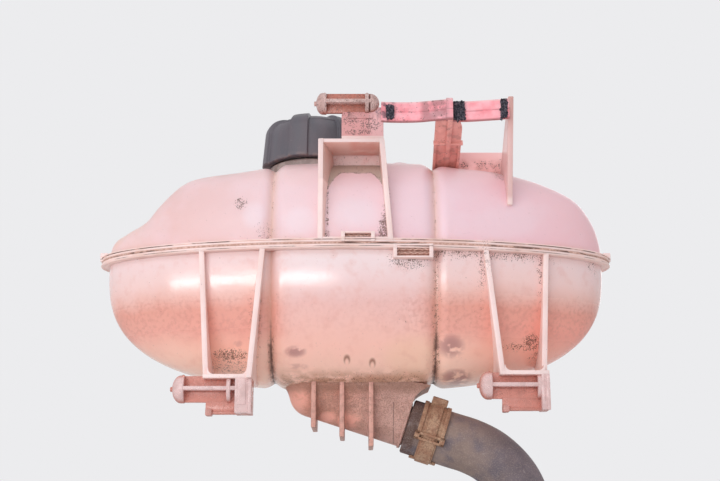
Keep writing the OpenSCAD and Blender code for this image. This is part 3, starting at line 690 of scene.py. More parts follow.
def strapParts():
    s = strap
    half = boxBracket["wall"] / 2
    crown, crownY, low, high = tank["crown"], s["crownY"], s["low"], s["high"]
    midX, ahead = s["left"][-1]
    midY = upperPeg["y"] - ahead
    endY = upperPeg["y"] - s["right"][-1][1]
    knuckle = block((midX - 2.2, midY - 0.3, low - 0.4), (midX + 2.2, midY + 5, high + 0.8), 0.7)
    lowWall = block((s["postX"], crownY - 2.2, crown - 8), (s["endX"], crownY, crown + s["lowWall"]), 0.4)
    post = plate([(midY, high), (midY + 5, high), (crownY, crown), (crownY - 2.2, crown - 6),
                  (midY + 1, low)], s["postX"] - half, s["postX"] + half, "yz", 0.45)
    # brace: a leaning plate with one round corner, a ledge across it and two side ribs
    top = Vector((0, midY + 5, low + 2))
    foot = Vector((0, crownY - 1.1, crown - 5))
    run = (foot - top).length
    left, right = s["braceX"]
    r = s["braceRound"]
    corner = arc((right - r, r), r, r, range(-90, 1, 15))
    brace = [plate([(left, 0), *corner, (right, run), (left, run)], -1.1, 1.1, "xy", 0.4),
             block((left - 0.4, 0.42 * run, -2.6), (right + 1.2, 0.42 * run + 1.3, 1.1), 0.4)]
    brace += [block((x - 0.9, 0.44 * run, -2.4), (x + 0.9, run, 0), 0.4) for x in (left + 0.9, right - 0.9)]
    down = (foot - top).normalized()
    lean = Matrix((Vector((1, 0, 0)), down, Vector((1, 0, 0)).cross(down))).transposed().to_4x4()
    posts = [post] + [moved(part, Matrix.Translation(top) @ lean) for part in brace]
    endPost = plate([(endY - 1, high + 1), (endY + 5, high + 1), (crownY, crown - 6),
                     (crownY, crown - 14), (endY + 29, crown - 36), (endY + 19.5, crown - 36)],
                    s["endX"] - half, s["endX"] + half, "yz", 0.45)
    return [strapRun(s["left"]), strapRun(s["right"]), knuckle, lowWall], posts, endPost


def clipWindow(span, side):
    # a frame on the flange's front edge, its inside and wavy ribs in it
    left, right, height = span
    y = flangeFront((left + right) / 2) - 0.5
    wall, deep = clipWindows["side"], y + clipWindows["depth"]
    low = flange["gap"]
    bars = [block((left, y, low), (left + wall, deep, height), 0.35),
            block((right - wall, y, low), (right, deep, height), 0.35),
            block((left + 0.6, y + 0.12, low + 0.12), (right - 0.6, deep - 0.2, low + wall / 2), 0.3),
            block((left + 0.6, y + 0.12, height - wall / 2), (right - 0.6, deep - 0.2, height - 0.12), 0.3)]
    inside = [block((left + 1, deep - wall, low + 0.4), (right - 1, deep - 0.3, height - 0.4), 0.3)]
    count = 14
    for share, thick in ((0.36, 0.45), (0.64, 0.3)):
        # a wavy rib from side to side
        z = low + (height - low) * share
        wave = [0.35 * math.sin(2.3 * k + 5 * share) for k in range(count + 1)]
        xs = [left + wall + (right - left - 2 * wall) * k / count for k in range(count + 1)]
        upper = [(x, z + thick + w) for x, w in zip(xs, wave)]
        lower = [(x, z - thick + w) for x, w in zip(xs, wave)]
        inside.append(plate(lower + upper[::-1], y + 2.2, deep - wall + 0.5, "xz", 0.12))
    if side < 0:
        flip = Matrix.Diagonal((1, 1, -1, 1))
        for bm in bars + inside:
            moved(bm, flip)
            bmesh.ops.recalc_face_normals(bm, faces=bm.faces)
    return bars, inside


def threadRidge(root, crest, turns):
    # one ridge of the screw thread, on the neck or in the cap
    profile = [(root, -1.1), (crest, -0.3), (crest, 0.3), (root, 1.1)]
    return turned(profile, round(96 * turns), 360 * turns, closed=True, rise=neck["threadRise"] * turns)


def neckParts():
    n = neck
    r, bore, top, collar, collarTop = [n[key] for key in ("radius", "bore", "top", "collar", "collarTop")]
    profile = [(bore, n["foot"]), (bore, top - 0.5), (bore + 0.5, top), (r - 0.6, top), (r, top - 0.6),
               (r, 67.2), (r + 0.5, 66.3), (r + 1.4, 65.6), (r + 2.8, 65.3), (r + 3.6, 64.4),
               (collar - 0.8, collarTop - 0.1), (collar - 0.2, collarTop - 0.5), (collar, collarTop - 1.2),
               (collar, n["foot"])]
    place = Matrix.Translation((n["x"], n["y"], 0))
    tube = moved(turned(profile, 144, closed=True), place)
    thread = threadRidge(r - 0.4, r + n["threadOut"], n["threadTurns"])
    moved(thread, place @ Matrix.Translation((0, 0, n["threadLow"])) @ around(n["threadStart"]))
    boss = turned([(out, up) for up, out in n["boss"]], 64)
    return [tube, thread, moved(boss, Matrix.Translation(n["bossPlace"]))]


def openedCrown():
    # the crown is open under the neck, and the cut edge lies inside the neck's wall
    bm = halfShell(True)
    reach = neck["bore"] + 0.8

    def away(v):
        return math.hypot(v.co.x - neck["x"], v.co.y - neck["y"]) if v.co.z > 40 else 99

    bmesh.ops.delete(bm, geom=[face for face in bm.faces if min(away(v) for v in face.verts) < reach],
                     context="FACES")
    bmesh.ops.bridge_loops(bm, edges=[e for e in bm.edges if e.is_boundary and away(e.verts[0]) < 30])
    return bm


def upperHalf(skins):
    pegParts, pegPlate = upperPegParts()
    band, posts, endPost = strapParts()
    bars, inside = clipWindow(clipWindows["upper"], 1)
    # a tab on each end of the flange
    t, end = flangeTab, flange["halfLength"]
    tabs = [block((x, -t["deep"], t["low"]), (x + t["long"], 0, t["high"]), 0.5)
            for x in (-end, end - t["long"])]
    # lists in the order of the skins: milk, rim, clear, strap, post, dirt
    bm = joined([openedCrown(), *neckParts()],
                [flangeRing(flangeProfile(1)), *boxBracketParts(), *pegPlate, *bars, endPost, *tabs],
                pegParts, band, posts, inside)
    makePiece("upperHalf", bm, "tank", skins, ["upper_shell"])


# Lower half with its brackets and the outlet sump


lowerBrackets = {
    "left": ((-93.6, -55.9), (-88.6, -62.6), -110, 34, -70.9, 5.4),
    "right": ((79.1, 117.1), (87.3, 113.3), 72.5, 35.5, 110, 3.2),
    "pegRadius": 8.25, "nose": 5.2, "pegY": -44, "bar": 2.6, "underWeb": 6.5, "back": -8,
    "corner": 3.2,
}
sumpRibs = {"xs": (-25.6, -8.2, 9.7), "thick": 3, "halfWidth": 20, "drop": 6.8, "corner": 6, "root": 14}


def lowerBracketParts(shape):
    tops, feet, tip, farRing, endX, drop = shape
    b = lowerBrackets
    radius, y, bar = b["pegRadius"], b["pegY"], b["bar"]
    half = boxBracket["wall"] / 2
    pegZ = -tank["belly"] - drop
    barZ = pegZ + radius
    left, root = feet[0], feet[1] + half
    footZ = pegZ - radius - b["underWeb"]
    top = -flange["gap"] - flange["thick"] / 2
    legs = [plate([(low - half, barZ - bar), (low + half, barZ - bar), (high + half, top),
                   (high - half, top)], flangeFront(high) + 0.4, b["back"], "xz", 0.45)
            for low, high in zip(feet, tops)]
    front, back = y - radius, y + radius
    legs.append(block((left - half + 0.15, front, barZ - bar + 0.1), (root - 0.15, back, barZ), 0.45))
    # rounded inner corners between the legs and the bar
    r = b["corner"]
    for x, way in ((left + half, 1), (feet[1] - half, -1)):
        corner = [(x - 0.5 * way, barZ - 0.3), *arc((x + way * r, barZ + r), -way * r, r, range(-90, 1, 15)),
                  (x - 0.5 * way, barZ + r)]
        legs.append(plate(corner, front + 0.2, back - 0.2, "xz", 0))
    clear = [moved(part, Matrix.Translation((tip, y, pegZ)))
             for part in peg(radius, b["nose"], root - tip - 1, farRing)]
    web = webs["web"] / 2
    clear += [block((endX, front + 0.1, footZ), (root - 0.1, back - 0.1, barZ - bar / 2), 0.5),
              block((left, y - web, footZ), (root - 1, y + web, pegZ - radius + 1), 0.4),
              block((left + 0.1, y - 3.5, footZ - 1), (left + 4, y + 3.5, footZ + 3), 0.6),
              # lip along the bottom edge, and two thin steps on the end block's face
              block((left + 2, y - 2, footZ - 0.15), (root - 0.5, y + 2, footZ + 1.5), 0.5),
              block((root - 2.2, front - 0.5, footZ - 0.4), (root, front + 2, barZ - bar), 0.5),
              block((endX + 1.6, front - 0.4, footZ + 5), (root - 3.4, front + 1, barZ - bar), 0.35)]
    return legs, clear


def sumpBody():
    # a trough along the outlet's axis with a round left end, flared where it meets the belly
    r, rise, length = outlet["sumpRadius"], outlet["sumpRise"], outlet["sumpLength"]
    along = [(-length - r * math.cos(math.radians(a)), 1) for a in range(0, 91, 9)]
    along += [(-length * (1 - k / 24), 1) for k in range(1, 25)]
    # the end face narrows to its middle line
    along += [(0, share) for share in (0.75, 0.5, 0.25, 0)]
    ups = [rise * (1 - k / 14) for k in range(14)]
    turns = [math.radians(a) for a in range(0, 181, 7)]
    rows = 2 * len(ups) + len(turns) - 1

    def spotOf(column, row):
        far, share = along[column]
        local = r if far > -length else math.sqrt(max(0, r * r - (far + length) ** 2))
        if row < len(ups):
            up, side, bulge = ups[row], -1, 0
        elif row > rows - len(ups):
            up, side, bulge = ups[rows - row], 1, 0
        else:
            turn = turns[row - len(ups)]
            up, side, bulge = 0, -math.cos(turn), math.sin(turn)
        spot = outletPlace @ Vector((-up + bulge * local, side * local, far))
        belly = -halfHeight(spot.x, False)
        flare = 5 * max(0, min(1, (spot.z - belly + 8) / 9)) ** 2
        spot.y += math.copysign(flare, spot.y) if abs(spot.y) > 0.01 else 0
        spot.y *= share
        if far <= -length:
            spot.x -= flare * 0.8 * (1 - local / r)
        if far > -14:
            spot.x += flare * 2 * (1 + far / 14) ** 2
        return spot

    return mappedGrid(len(along) - 1, rows, spotOf, fill=True)


def sumpParts():
    bore, out, end = outlet["spigotBore"], outlet["spigotRadius"], outlet["spigotLength"]
    spigot = [(bore, -4), (bore, end - 0.5), (bore + 0.5, end), (out - 0.8, end), (out, end - 1.6), (out, -4)]
    # raised rim round the end face
    rim = [(12.9, -1.6), (12.9, 0.4), (14.2, 0.4), (14.9, -0.3), (14.9, -1.6)]
    trough = [sumpBody()] + [moved(turned(p, 64, closed=True), outletPlace) for p in (spigot, rim)]
    fall = math.radians(outlet["tilt"])
    s = sumpRibs
    w, c, half = s["halfWidth"], s["corner"], s["thick"] / 2
    root = -tank["belly"] + s["root"]
    ribs = []
    for x in s["xs"]:
        z = (-outlet["depth"] - (x - outlet["x"]) * math.tan(fall)
             - outlet["sumpRadius"] / math.cos(fall) - s["drop"])
        outline = [(-w, root), (w, root), (w, z + c), (w - c, z), (-w, z)]
        ribs.append(plate(outline, x - half, x + half, "yz", 0.5))
    return trough, ribs


def lowerHalf(skins):
    bars, inside = clipWindow(clipWindows["lower"], -1)
    back = -flange["inside"]
    bead = [(back, -0.5), (-0.8, -0.5), (-0.4, -0.25), (-0.4, 0.25), (-0.8, 0.5), (back, 0.5)]
    legs, pegParts = [], []
    for side in ("left", "right"):
        sideLegs, sidePegs = lowerBracketParts(lowerBrackets[side])
        legs += sideLegs
        pegParts += sidePegs
    # lists in the order of the skins: milk, rim, clear, sump, rib, dirt
    bm = joined([halfShell(False)], [flangeRing(flangeProfile(-1)), *legs, *bars], pegParts, *sumpParts(),
                [flangeRing(bead), *inside])
    makePiece("lowerHalf", bm, "tank", skins, ["lower_shell"])


# Finishes of the tank's plastic


def grooveMask(f, reach):
    x = f.axis("X")
    return f.near(x, tank["grooves"][0], reach) | f.near(x, tank["grooves"][1], reach)


def upperMilk():
    f = Finish("upperMilk", Subsurface_Weight=0.12, Subsurface_Radius=(1, 0.5, 0.4), Subsurface_Scale=0.006)
    x, y, z = f.axis("X"), f.axis("Y"), f.axis("Z")
    f.colour = f.ramp(x, {-160: (240, 200, 190), -115: (232, 192, 190), -40: (236, 203, 207),
                          40: (240, 205, 215), 100: (243, 202, 211), 160: (246, 194, 200)})
    f.paint(f.patches(34, 3, 0.42, 0.62) * 0.4, (243, 214, 222))
    f.paint(f.smooth(z, 34, 62) * 0.4, (240, 198, 194))
    # painted highlight: pale patches low in the middle chamber
    pale = f.spot(-33, 15, 13, 12) | f.spot(0, 20, 18, 13) | f.spot(-62, 20, 9, 11)
    f.paint(pale * 0.5, (238, 220, 228))
    crease = grooveMask(f, 5)
    f.paint(crease * 0.5, (230, 192, 176))
    line = grooveMask(f, 1.2) * f.patches(9, 2, 0.3, 0.5)
    f.paint(line * 0.35, (214, 170, 152))
    stain = grooveMask(f, 3) * f.patches(6, 3, 0.42, 0.6)
    foot = f.smooth(z, 8, 1) * f.patches(16, 3, 0.35, 0.6)
    f.paint(foot * 0.45, (216, 176, 158))
    # dirt inside the box bracket: a dull band over the chamber's edge and specks at its sides
    inBox = f.between(x, -17, 18, 1.5) * f.smooth(y, -20, -26)
    corners = (abs(x - 0.5) - 7) | 0
    top = z + corners * corners * 0.11 + (f.cloud(8, 3) - 0.5) * 3
    band = inBox * f.smooth(top, 48, 50)
    outline = inBox * f.near(top, 49, 1.6)
    f.paint(band * 0.75, (176, 164, 146))
    sides = (f.near(x, 19, 4) | f.near(x, -17, 2)) * f.smooth(z, 56, 44) * f.smooth(y, -14, -24)
    corner = f.spot(18, 8, 6, 17) | f.spot(-18, 4, 4, 8)
    ends = f.spot(49, 63, 8, 8) | f.spot(93, 56, 9, 14)
    edge = f.between(x, 49, 96, 3) * f.smooth(z, 57, 62) * f.smooth(y, -4, -12)
    mark = f.spot(-70.5, 28, 6, 6) * f.smooth(y, -10, -20)
    leftFoot = f.spot(-55, 9, 9, 9)
    dots = f.specks(0.6, sides * 0.75 | corner * 0.95 | ends * 0.7 | edge * 0.7 | mark * 0.75
                    | leftFoot * 0.45 | stain * 0.5 | foot * 0.35 | band * 0.3 | outline * 0.8)
    f.paint(dots * 0.85, (104, 78, 64))
    few = f.specks(0.8, f.patches(24, 2, 0.54, 0.7) * 0.2)
    f.paint(few * 0.3, (170, 130, 120))
    # dust on the top that faces up
    dust = f.smooth(f.axis("Z", f.facing), 0.75, 1) * f.patches(18, 4, 0.4, 0.7)
    f.paint(dust * 0.5, (190, 164, 146))
    # the neck's collar under the cap is painted greyer: the cap's old dust, and painted shade from the cap
    aside, behind = (x - neck["x"]), (y - neck["y"])
    collar = f.smooth(aside * aside + behind * behind, 30.5 ** 2, 29.2 ** 2) * f.smooth(z, 57, 58)
    dustAndShade = f.mix(f.patches(6, 3, 0.4, 0.6), (160, 144, 138), (134, 117, 111))
    f.paint(collar * 0.9, dustAndShade)
    rough = 0.28 + stain * 0.3 + band * 0.4 + f.cloud(12, 3) * 0.12
    return f.done(rough, f.cloud(5, 3) * 0.6 + dots * 0.3 + f.cloud(0.8, 2) * 0.1, 0.25)


def lowerMilk():
    f = Finish("lowerMilk", Subsurface_Weight=0.12, Subsurface_Radius=(1, 0.5, 0.4), Subsurface_Scale=0.006)
    x, y, z = f.axis("X"), f.axis("Y"), f.axis("Z")
    # colour by height, with a soft wavy level, in both ramps; their lowest stops are also brightened as
    # painted bounce light from below
    wave = (f.cloud(18, 4) - 0.5) * 9
    f.colour = f.ramp(z + wave, {-82: (255, 212, 192), -62: (255, 203, 185), -50: (239, 172, 158),
                                 -37: (231, 163, 148), -29: (238, 188, 178), -20: (243, 206, 202),
                                 -8: (243, 214, 214), 0: (240, 208, 205)})
    centre = f.ramp(z + wave, {-82: (255, 208, 188), -60: (253, 196, 182), -36: (239, 190, 184),
                               -20: (242, 211, 211), -8: (244, 224, 226), 0: (242, 212, 208)})
    f.paint(f.between(x, -44, 42, 9), centre)
    # painted reflection of a red backdrop: redder towards the low right end
    f.paint(f.smooth(x, 60, 150) * f.smooth(z, -30, -50) * 0.75, (255, 166, 150))
    f.paint(f.spot(34, -66, 22, 16) * 0.4, (244, 200, 168))
    # mottled brown zone under the highlight
    zone = f.between(z, -52, -30, 6) * (1 - f.between(x, -44, 30, 9) * 0.7)
    f.paint(zone * f.patches(2.4, 4, 0.42, 0.66) * 0.4, (206, 140, 128))
    f.paint(f.patches(7, 4, 0.5, 0.72) * 0.2, (222, 150, 136))
    crease = grooveMask(f, 5)
    f.paint(crease * 0.5, (220, 164, 146))
    line = grooveMask(f, 1.2) * f.patches(9, 2, 0.3, 0.5)
    f.paint(line * 0.35, (204, 150, 130))
    dark = grooveMask(f, 2.6) * f.smooth(z + wave, -40, -60) * f.patches(5, 4, 0.4, 0.55)
    f.paint(dark * 0.75, (92, 62, 52))
    crack = grooveMask(f, 0.9) * f.smooth(z + wave, -38, -62)
    f.paint(crack * 0.7, (84, 54, 42))
    blots = (f.spot(-36, -63, 8, 4) | f.spot(58, -59.5, 10, 8) | f.spot(62, -76, 12, 5)
             | f.spot(-35, -71, 8, 2) * 0.5 | f.spot(-71, -58, 3.5, 2.5) * 0.5)
    f.paint(blots * f.patches(5, 2, 0.3, 0.5) * 0.7, (158, 108, 110))
    # specks under the flange, in the grooves and where the brackets and the sump meet the belly
    under = f.smooth(z, -12, -4) * f.smooth(x, 16, 30) * f.smooth(x, 132, 112)
    near = f.smooth(y, -6, -24)
    feet = (f.spot(-76, -64, 17, 5) | f.spot(-77, -70, 17, 11) * 0.65 | f.spot(108, -56, 9, 7)
            | f.spot(99, -59, 16, 4) * 0.75 | f.spot(111, -66, 6, 12) * 0.7) * near
    legs = (f.near(x, 77, 6) | f.near(x, 114, 6)) * f.smooth(z, -50, -6) * near
    left = f.spot(-60, -46, 6, 34) * near
    window = (f.spot(33, -10, 20, 8) | f.spot(152, -6, 10, 9)) * near
    joint = f.smooth(z, -70, -79) * f.between(x, -48, 44, 6)
    dots = f.specks(0.6, under * 0.65 | feet * 0.85 | legs * 0.7 | left * 0.5 | window * 0.7
                    | joint * 0.5 | crease * f.smooth(z, -36, -70) * 0.75
                    | crease * f.smooth(x, 0, 10) * 0.5)
    f.paint(joint * f.patches(8, 3, 0.32, 0.58) * 0.75, (176, 128, 100))
    f.paint(dots * 0.85, (98, 70, 58))
    # two round-topped marks over the ribs
    marks = (f.spot(-5, -67.5, 2.6, 3.4) * (1 - f.spot(-5, -69, 1.7, 3))
             | f.spot(10.4, -69.3, 2.6, 3.4) * (1 - f.spot(10.4, -70.8, 1.7, 3)))
    f.paint(marks * near, (150, 106, 88))
    few = f.specks(0.8, f.patches(24, 2, 0.54, 0.7) * 0.2)
    f.paint(few * 0.3, (170, 124, 112))
    rough = 0.12 + dark * 0.4 + zone * 0.15 + f.smooth(x, 20, 60) * 0.08 + f.cloud(12, 3) * 0.06
    return f.done(rough, f.cloud(9, 3) * 0.5 + dots * 0.3 + f.cloud(0.8, 2) * 0.06, 0.2)


def rimMilk():
    f = Finish("rimMilk", Subsurface_Weight=0.1, Subsurface_Radius=(1, 0.6, 0.5), Subsurface_Scale=0.004)
    x, y, z = f.axis("X"), f.axis("Y"), f.axis("Z")
    front = f.smooth(f.axis("Y", f.facing), -0.6, -0.95)
    f.colour = f.mix(front, (250, 217, 209), (247, 221, 218))
    # ceiling, inner sides and rims of the box bracket; the inner sides are painted darker than the rims as
    # shade
    inBox = f.between(x, -22, 18, 1) * f.between(z, 40, 70, 1)
    f.paint(inBox, f.mix(front, (226, 190, 180), (234, 208, 206)))
    # painted warm light on the ceiling's underside, with a painted shadow pocket in its middle
    ceiling = inBox * f.smooth(z, 62, 64) * f.smooth(f.axis("Z", f.facing), -0.5, -0.9)
    f.paint(ceiling * 0.9, (255, 202, 190))
    deep = ceiling * f.between(x, -3, 13, 3) * f.patches(9, 3, 0.3, 0.5)
    f.paint(deep * 0.85, (222, 136, 120))
    behind = inBox * f.smooth(y, -36, -32) * front
    f.paint(behind * f.patches(8, 3, 0.45, 0.65) * 0.7, (230, 184, 180))
    f.paint(f.patches(20, 3, 0.4, 0.65) * 0.3, (226, 190, 182))
    # the flange's fine dirty lines
    onEdge = f.smooth(abs(z), 3.6, 3.2)
    step = abs(abs(z) - flange["gap"] - 0.62 * flange["thick"])
    lines = onEdge * f.smooth(step, 0.4, 0.1) * f.patches(16, 3, 0.44, 0.56)
    f.paint(lines * 0.8, (120, 86, 74))
    worn = onEdge * f.smooth(f.cloud(9, 4, (0.5, 1, 1)), 0.5, 0.66)
    f.paint(worn * 0.4, (222, 184, 170))
    onEnd = f.smooth(x, 92.5, 93.5) * f.smooth(z, 30, 34)
    endTone = f.mix(f.smooth(z, 60, 88), (225, 183, 179), (200, 146, 138))
    f.paint(onEnd * 0.85, endTone)
    low = f.smooth(z, -66, -92)
    legTops = f.near(x, 79, 5) * f.smooth(z, -30, -4)
    pegPlate = f.between(x, -10, 20, 2) * f.smooth(z, 68, 69)
    plateTone = f.mix(f.smooth(x, 6, 12), (208, 138, 138), (224, 168, 170))
    f.paint(pegPlate * 0.9, plateTone)
    patch = pegPlate * (f.spot(-3, 80, 8, 7) | f.spot(9, 76, 10, 7) | f.spot(3, 71, 14, 3))
    grey = pegPlate * f.spot(15, 87, 4, 9)
    f.paint(grey * f.patches(2, 3, 0.35, 0.6) * 0.8, (112, 88, 100))
    dots = f.specks(0.6, low * 0.35 | patch * 0.8 | pegPlate * 0.3 | legTops * 0.55 | behind * 0.4
                    | lines * 0.5)
    f.paint(dots * 0.85, (100, 74, 72))
    few = f.specks(0.8, f.patches(14, 2, 0.5, 0.7) * 0.3)
    f.paint(few * 0.4, (160, 120, 112))
    rough = 0.34 + f.cloud(9, 3) * 0.15
    return f.done(rough, f.cloud(3, 3) * 0.6 + dots * 0.3, 0.15)


def clearMilk():
    f = Finish("clearMilk", Transmission_Weight=0.25, IOR=1.46)
    y, z = f.axis("Y"), f.axis("Z")
    top = f.smooth(z, 60, 70)
    # painted shade: browner towards the back, in the depth between the webs; pale where the rings and edges
    # stand out
    deep = f.smooth(y, -50.5, -46) * (1 - top) | f.smooth(y, -58.5, -55) * top
    pale = f.mix(top, (250, 216, 214), (232, 196, 190))
    shadedBrown = f.mix(top, (224, 150, 136), (200, 124, 108))
    nose = f.smooth(f.axis("X"), -19, -23) * top
    f.colour = f.mix(deep * (1 - nose * 0.7), pale, shadedBrown)
    grime = f.patches(5, 4, 0.45, 0.64)
    f.paint(grime * (0.2 + top * 0.2), (172, 130, 120))
    dots = f.specks(0.6, 0.12 + top * 0.4)
    f.paint(dots * 0.6, (112, 86, 80))
    return f.done(0.22 + grime * 0.3, f.cloud(2.5, 3) * 0.7 + dots * 0.3, 0.2)


def strapPink():
    f = Finish("strapPink", Subsurface_Weight=0.1, Subsurface_Radius=(1, 0.5, 0.5), Subsurface_Scale=0.004)
    x, z = f.axis("X"), f.axis("Z")
    f.colour = f.mix(f.patches(8, 3, 0.36, 0.66), (244, 146, 156), (252, 178, 187))
    f.paint(f.smooth(z, 77, 75), (255, 204, 202))
    rims = f.smooth(z, strap["high"] - 1.2, strap["high"] - 0.5)
    f.paint(rims * 0.6, (236, 196, 196))
    crease = f.near(z, (strap["low"] + strap["high"]) / 2, 0.5) * f.patches(5, 3, 0.38, 0.55)
    f.paint(crease * 0.6, (176, 112, 116))
    # painted shade: a greyer mottled patch where the left run turns forward before the knuckle
    patch = f.between(x, 41, 57, 2) * f.smooth(z, 77, 79) * f.patches(6, 4, 0.28, 0.5)
    f.paint(patch * 0.7, (168, 124, 128))
    root = (f.near(x, 18, 5) | f.near(x, 22, 4)) * f.patches(3, 4, 0.42, 0.56) * f.smooth(z, 76, 78)
    f.paint(root * 0.75, (96, 74, 86))
    lower = f.smooth(z, strap["low"] + 1.2, strap["low"]) * f.smooth(z, 74, 76)
    f.paint(lower * 0.6, (136, 84, 80))
    base = f.smooth(z, 69, 64) * f.patches(6, 3, 0.35, 0.6)
    dots = f.specks(0.8, base * 0.6 | f.between(x, 16, 57, 1) * f.smooth(z, 76, 78) * 0.35)
    f.paint(base * 0.4, (190, 122, 112))
    f.paint(dots * 0.8, (104, 74, 72))
    return f.done(0.34 + patch * 0.3, f.cloud(3, 3) * 0.6 + dots * 0.3, 0.2)


def postMilk():
    f = Finish("postMilk", Transmission_Weight=0.1)
    z = f.axis("Z")
    f.colour = f.mix(f.patches(9, 3, 0.4, 0.65), (250, 178, 168), (232, 156, 146))
    top = f.smooth(z, 76, 84)
    f.paint(top * 0.6, (226, 178, 182))
    grime = f.patches(5, 4, 0.5, 0.66)
    f.paint(grime * 0.4, (146, 96, 90))
    dots = f.specks(0.8, 0.25)
    f.paint(dots * 0.6, (100, 66, 62))
    return f.done(0.34, f.cloud(3, 3), 0.2)


def sumpMilk():
    f = Finish("sumpMilk", Subsurface_Weight=0.05, Subsurface_Scale=0.004)
    x, z = f.axis("X"), f.axis("Z")
    f.colour = f.mix(f.smooth(x, -20, 20), (224, 156, 136), (210, 164, 152))
    f.paint(f.patches(9, 4, 0.4, 0.64) * 0.5, (176, 134, 120))
    pink = f.spot(-37, -88, 11, 12) | f.spot(-4, -101, 9, 6) | f.spot(-17, -99, 7, 4)
    f.paint(pink * f.patches(6, 3, 0.3, 0.5) * 0.85, (255, 184, 166))
    joint = f.smooth(z + f.cloud(6, 3) * 5, -84, -79)
    f.paint(joint * 0.6, (158, 114, 94))
    fine = f.patches(0.6, 3, 0.48, 0.62) * (1 - pink * 0.8)
    f.paint(fine * 0.4, (136, 102, 92))
    light = f.patches(0.7, 2, 0.6, 0.68) * (1 - pink * 0.8)
    f.paint(light * 0.35, (222, 190, 178))
    seam = f.near(x, 23.5, 0.5) * f.smooth(z, -84, -88) * f.patches(4, 2, 0.36, 0.5)
    f.paint(seam * 0.75, (104, 78, 74))
    return f.done(0.5 + fine * 0.2, fine * 0.7 + f.cloud(4, 3) * 0.6, 0.25)


def ribMilk():
    f = Finish("ribMilk", Subsurface_Weight=0.05, Subsurface_Scale=0.004)
    front = f.smooth(f.axis("Y", f.facing), -0.6, -0.95)
    # painted shade: faces that turn away from the front are darker, and the grime is heavier on them
    f.colour = f.mix(front, (186, 138, 124), (214, 160, 146))
    grime = f.patches(4, 4, 0.45, 0.62) * (1 - front * 0.4)
    f.paint(grime * 0.6, (150, 108, 96))
    dots = f.specks(0.8, 0.35)
    f.paint(dots * 0.6, (104, 78, 70))
    return f.done(0.45, f.cloud(2.5, 3) * 0.6 + dots * 0.3, 0.2)


def seamDirt():
    f = Finish("seamDirt")
    x = f.axis("X")
    fine = f.patches(1.6, 3, 0.4, 0.62)
    f.colour = f.mix(fine, (200, 158, 144), (226, 190, 178))
    streak = f.between(x, -150, -122, 6) | f.between(x, 72, 150, 8) | f.between(x, -8, 50, 4)
    streak = streak * f.smooth(abs(f.axis("Z")), 0.9, 0.6) * f.smooth(f.cloud(5, 3, (0.4, 1, 3)), 0.46, 0.56)
    f.paint(streak * 0.85, (92, 64, 56))
    return f.done(0.7, fine, 0.2)


# Screw cap and the pieces inside it


cap = {
    "bottom": 65.7, "top": 98, "radius": 34, "topRadius": 31.2, "bore": 27.2, "roof": 5.3,
    "lobe": 1.9, "lobes": 6, "lobeAngle": 24, "lobeStart": -118,
    # how far in and how far up the round shoulders reach
    "shoulder": (18, 14), "lobeShoulder": (14, 11),
    "crownDrop": 0.2,
    "holdRing": (19, 22), "holdFoot": 87.1, "clipSlot": (82.6, 84.4, 28.0),
    "threadDepth": 1.2, "threadTurns": 1.125, "threadLow": 73.2, "threadStart": 126.0507,
}


def capProfile(out, shoulder, drop):
    # outer wall and shoulder of the cap: distance inside the lobes, size of the shoulder, lowered top
    c = cap
    slope = (c["radius"] - c["topRadius"]) / (c["top"] - c["bottom"])
    foot, top, wall = c["bottom"], c["top"] - drop, c["radius"] - out
    across, up = shoulder
    reach = top - up - foot
    points = [(c["bore"] + 0.6, foot), (wall - 0.7, foot), (wall - 0.1, foot + 0.5)]
    points += [(wall - slope * reach * k / 6, foot + reach * k / 6) for k in range(1, 7)]
    return points + arc((points[-1][0] - across, top - up), across, up, range(9, 91, 9))


def makeCap():
    c = cap
    recess = capProfile(c["lobe"], c["shoulder"], c["crownDrop"])
    lobe = capProfile(0, c["lobeShoulder"], 0)
    edge, top, bore = recess[-1][0], c["top"], c["bore"]
    disc = [(edge - 1, top - 0.3), (edge - 3, top - 0.3), (edge - 3.6, top - 0.9),
            (9, top - 1.3), (8.2, top - 0.9), (7, top - 0.8), (0, top - 0.8)]
    ceiling = top - c["roof"]
    slotLow, slotHigh, slotOut = c["clipSlot"]
    holdIn, holdOut = c["holdRing"]
    inner = [(0, ceiling), (holdIn, ceiling), (holdIn, c["holdFoot"]), (holdOut, c["holdFoot"]),
             (holdOut, ceiling), (bore, ceiling), (bore, slotHigh), (slotOut, slotHigh),
             (slotOut, slotLow), (bore, slotLow), (bore, c["bottom"] + 0.6)]
    profiles = [[Vector(p) for p in inner + outer + disc] for outer in (recess, lobe)]
    # columns lie close together at both sides of every lobe, and have a share of its height
    pitch, width, side = 360 / c["lobes"], c["lobeAngle"], 1.5
    shares = [(0, 0), (0.5, 0.15), (1, 0.85), (side, 1)]
    steps = shares + [(side + (width - 2 * side) * k / 8, 1) for k in range(1, 8)]
    steps += [(width - a, s) for a, s in reversed(shares)]
    steps += [(width + (pitch - width) * k / 14, 0) for k in range(1, 14)]
    columns = [(c["lobeStart"] + n * pitch + a, s) for n in range(c["lobes"]) for a, s in steps]

    def spotOf(column, row):
        angle, share = columns[column % len(columns)]
        radius, z = profiles[0][row].lerp(profiles[1][row], share)
        turn = math.radians(angle)
        return Vector((radius * math.cos(turn), radius * math.sin(turn), z))

    bm = mappedGrid(len(columns), len(profiles[0]) - 1, spotOf)
    thread = threadRidge(bore + 0.4, bore - c["threadDepth"], c["threadTurns"])
    moved(thread, Matrix.Translation((0, 0, c["threadLow"])) @ around(c["threadStart"]))
    bm = moved(joined([bm, thread]), Matrix.Translation((neck["x"], neck["y"], 0)))
    makePiece("screwCap", bm, "cap", [capPlastic()], ["cap_shell"], sharpFrom=30)


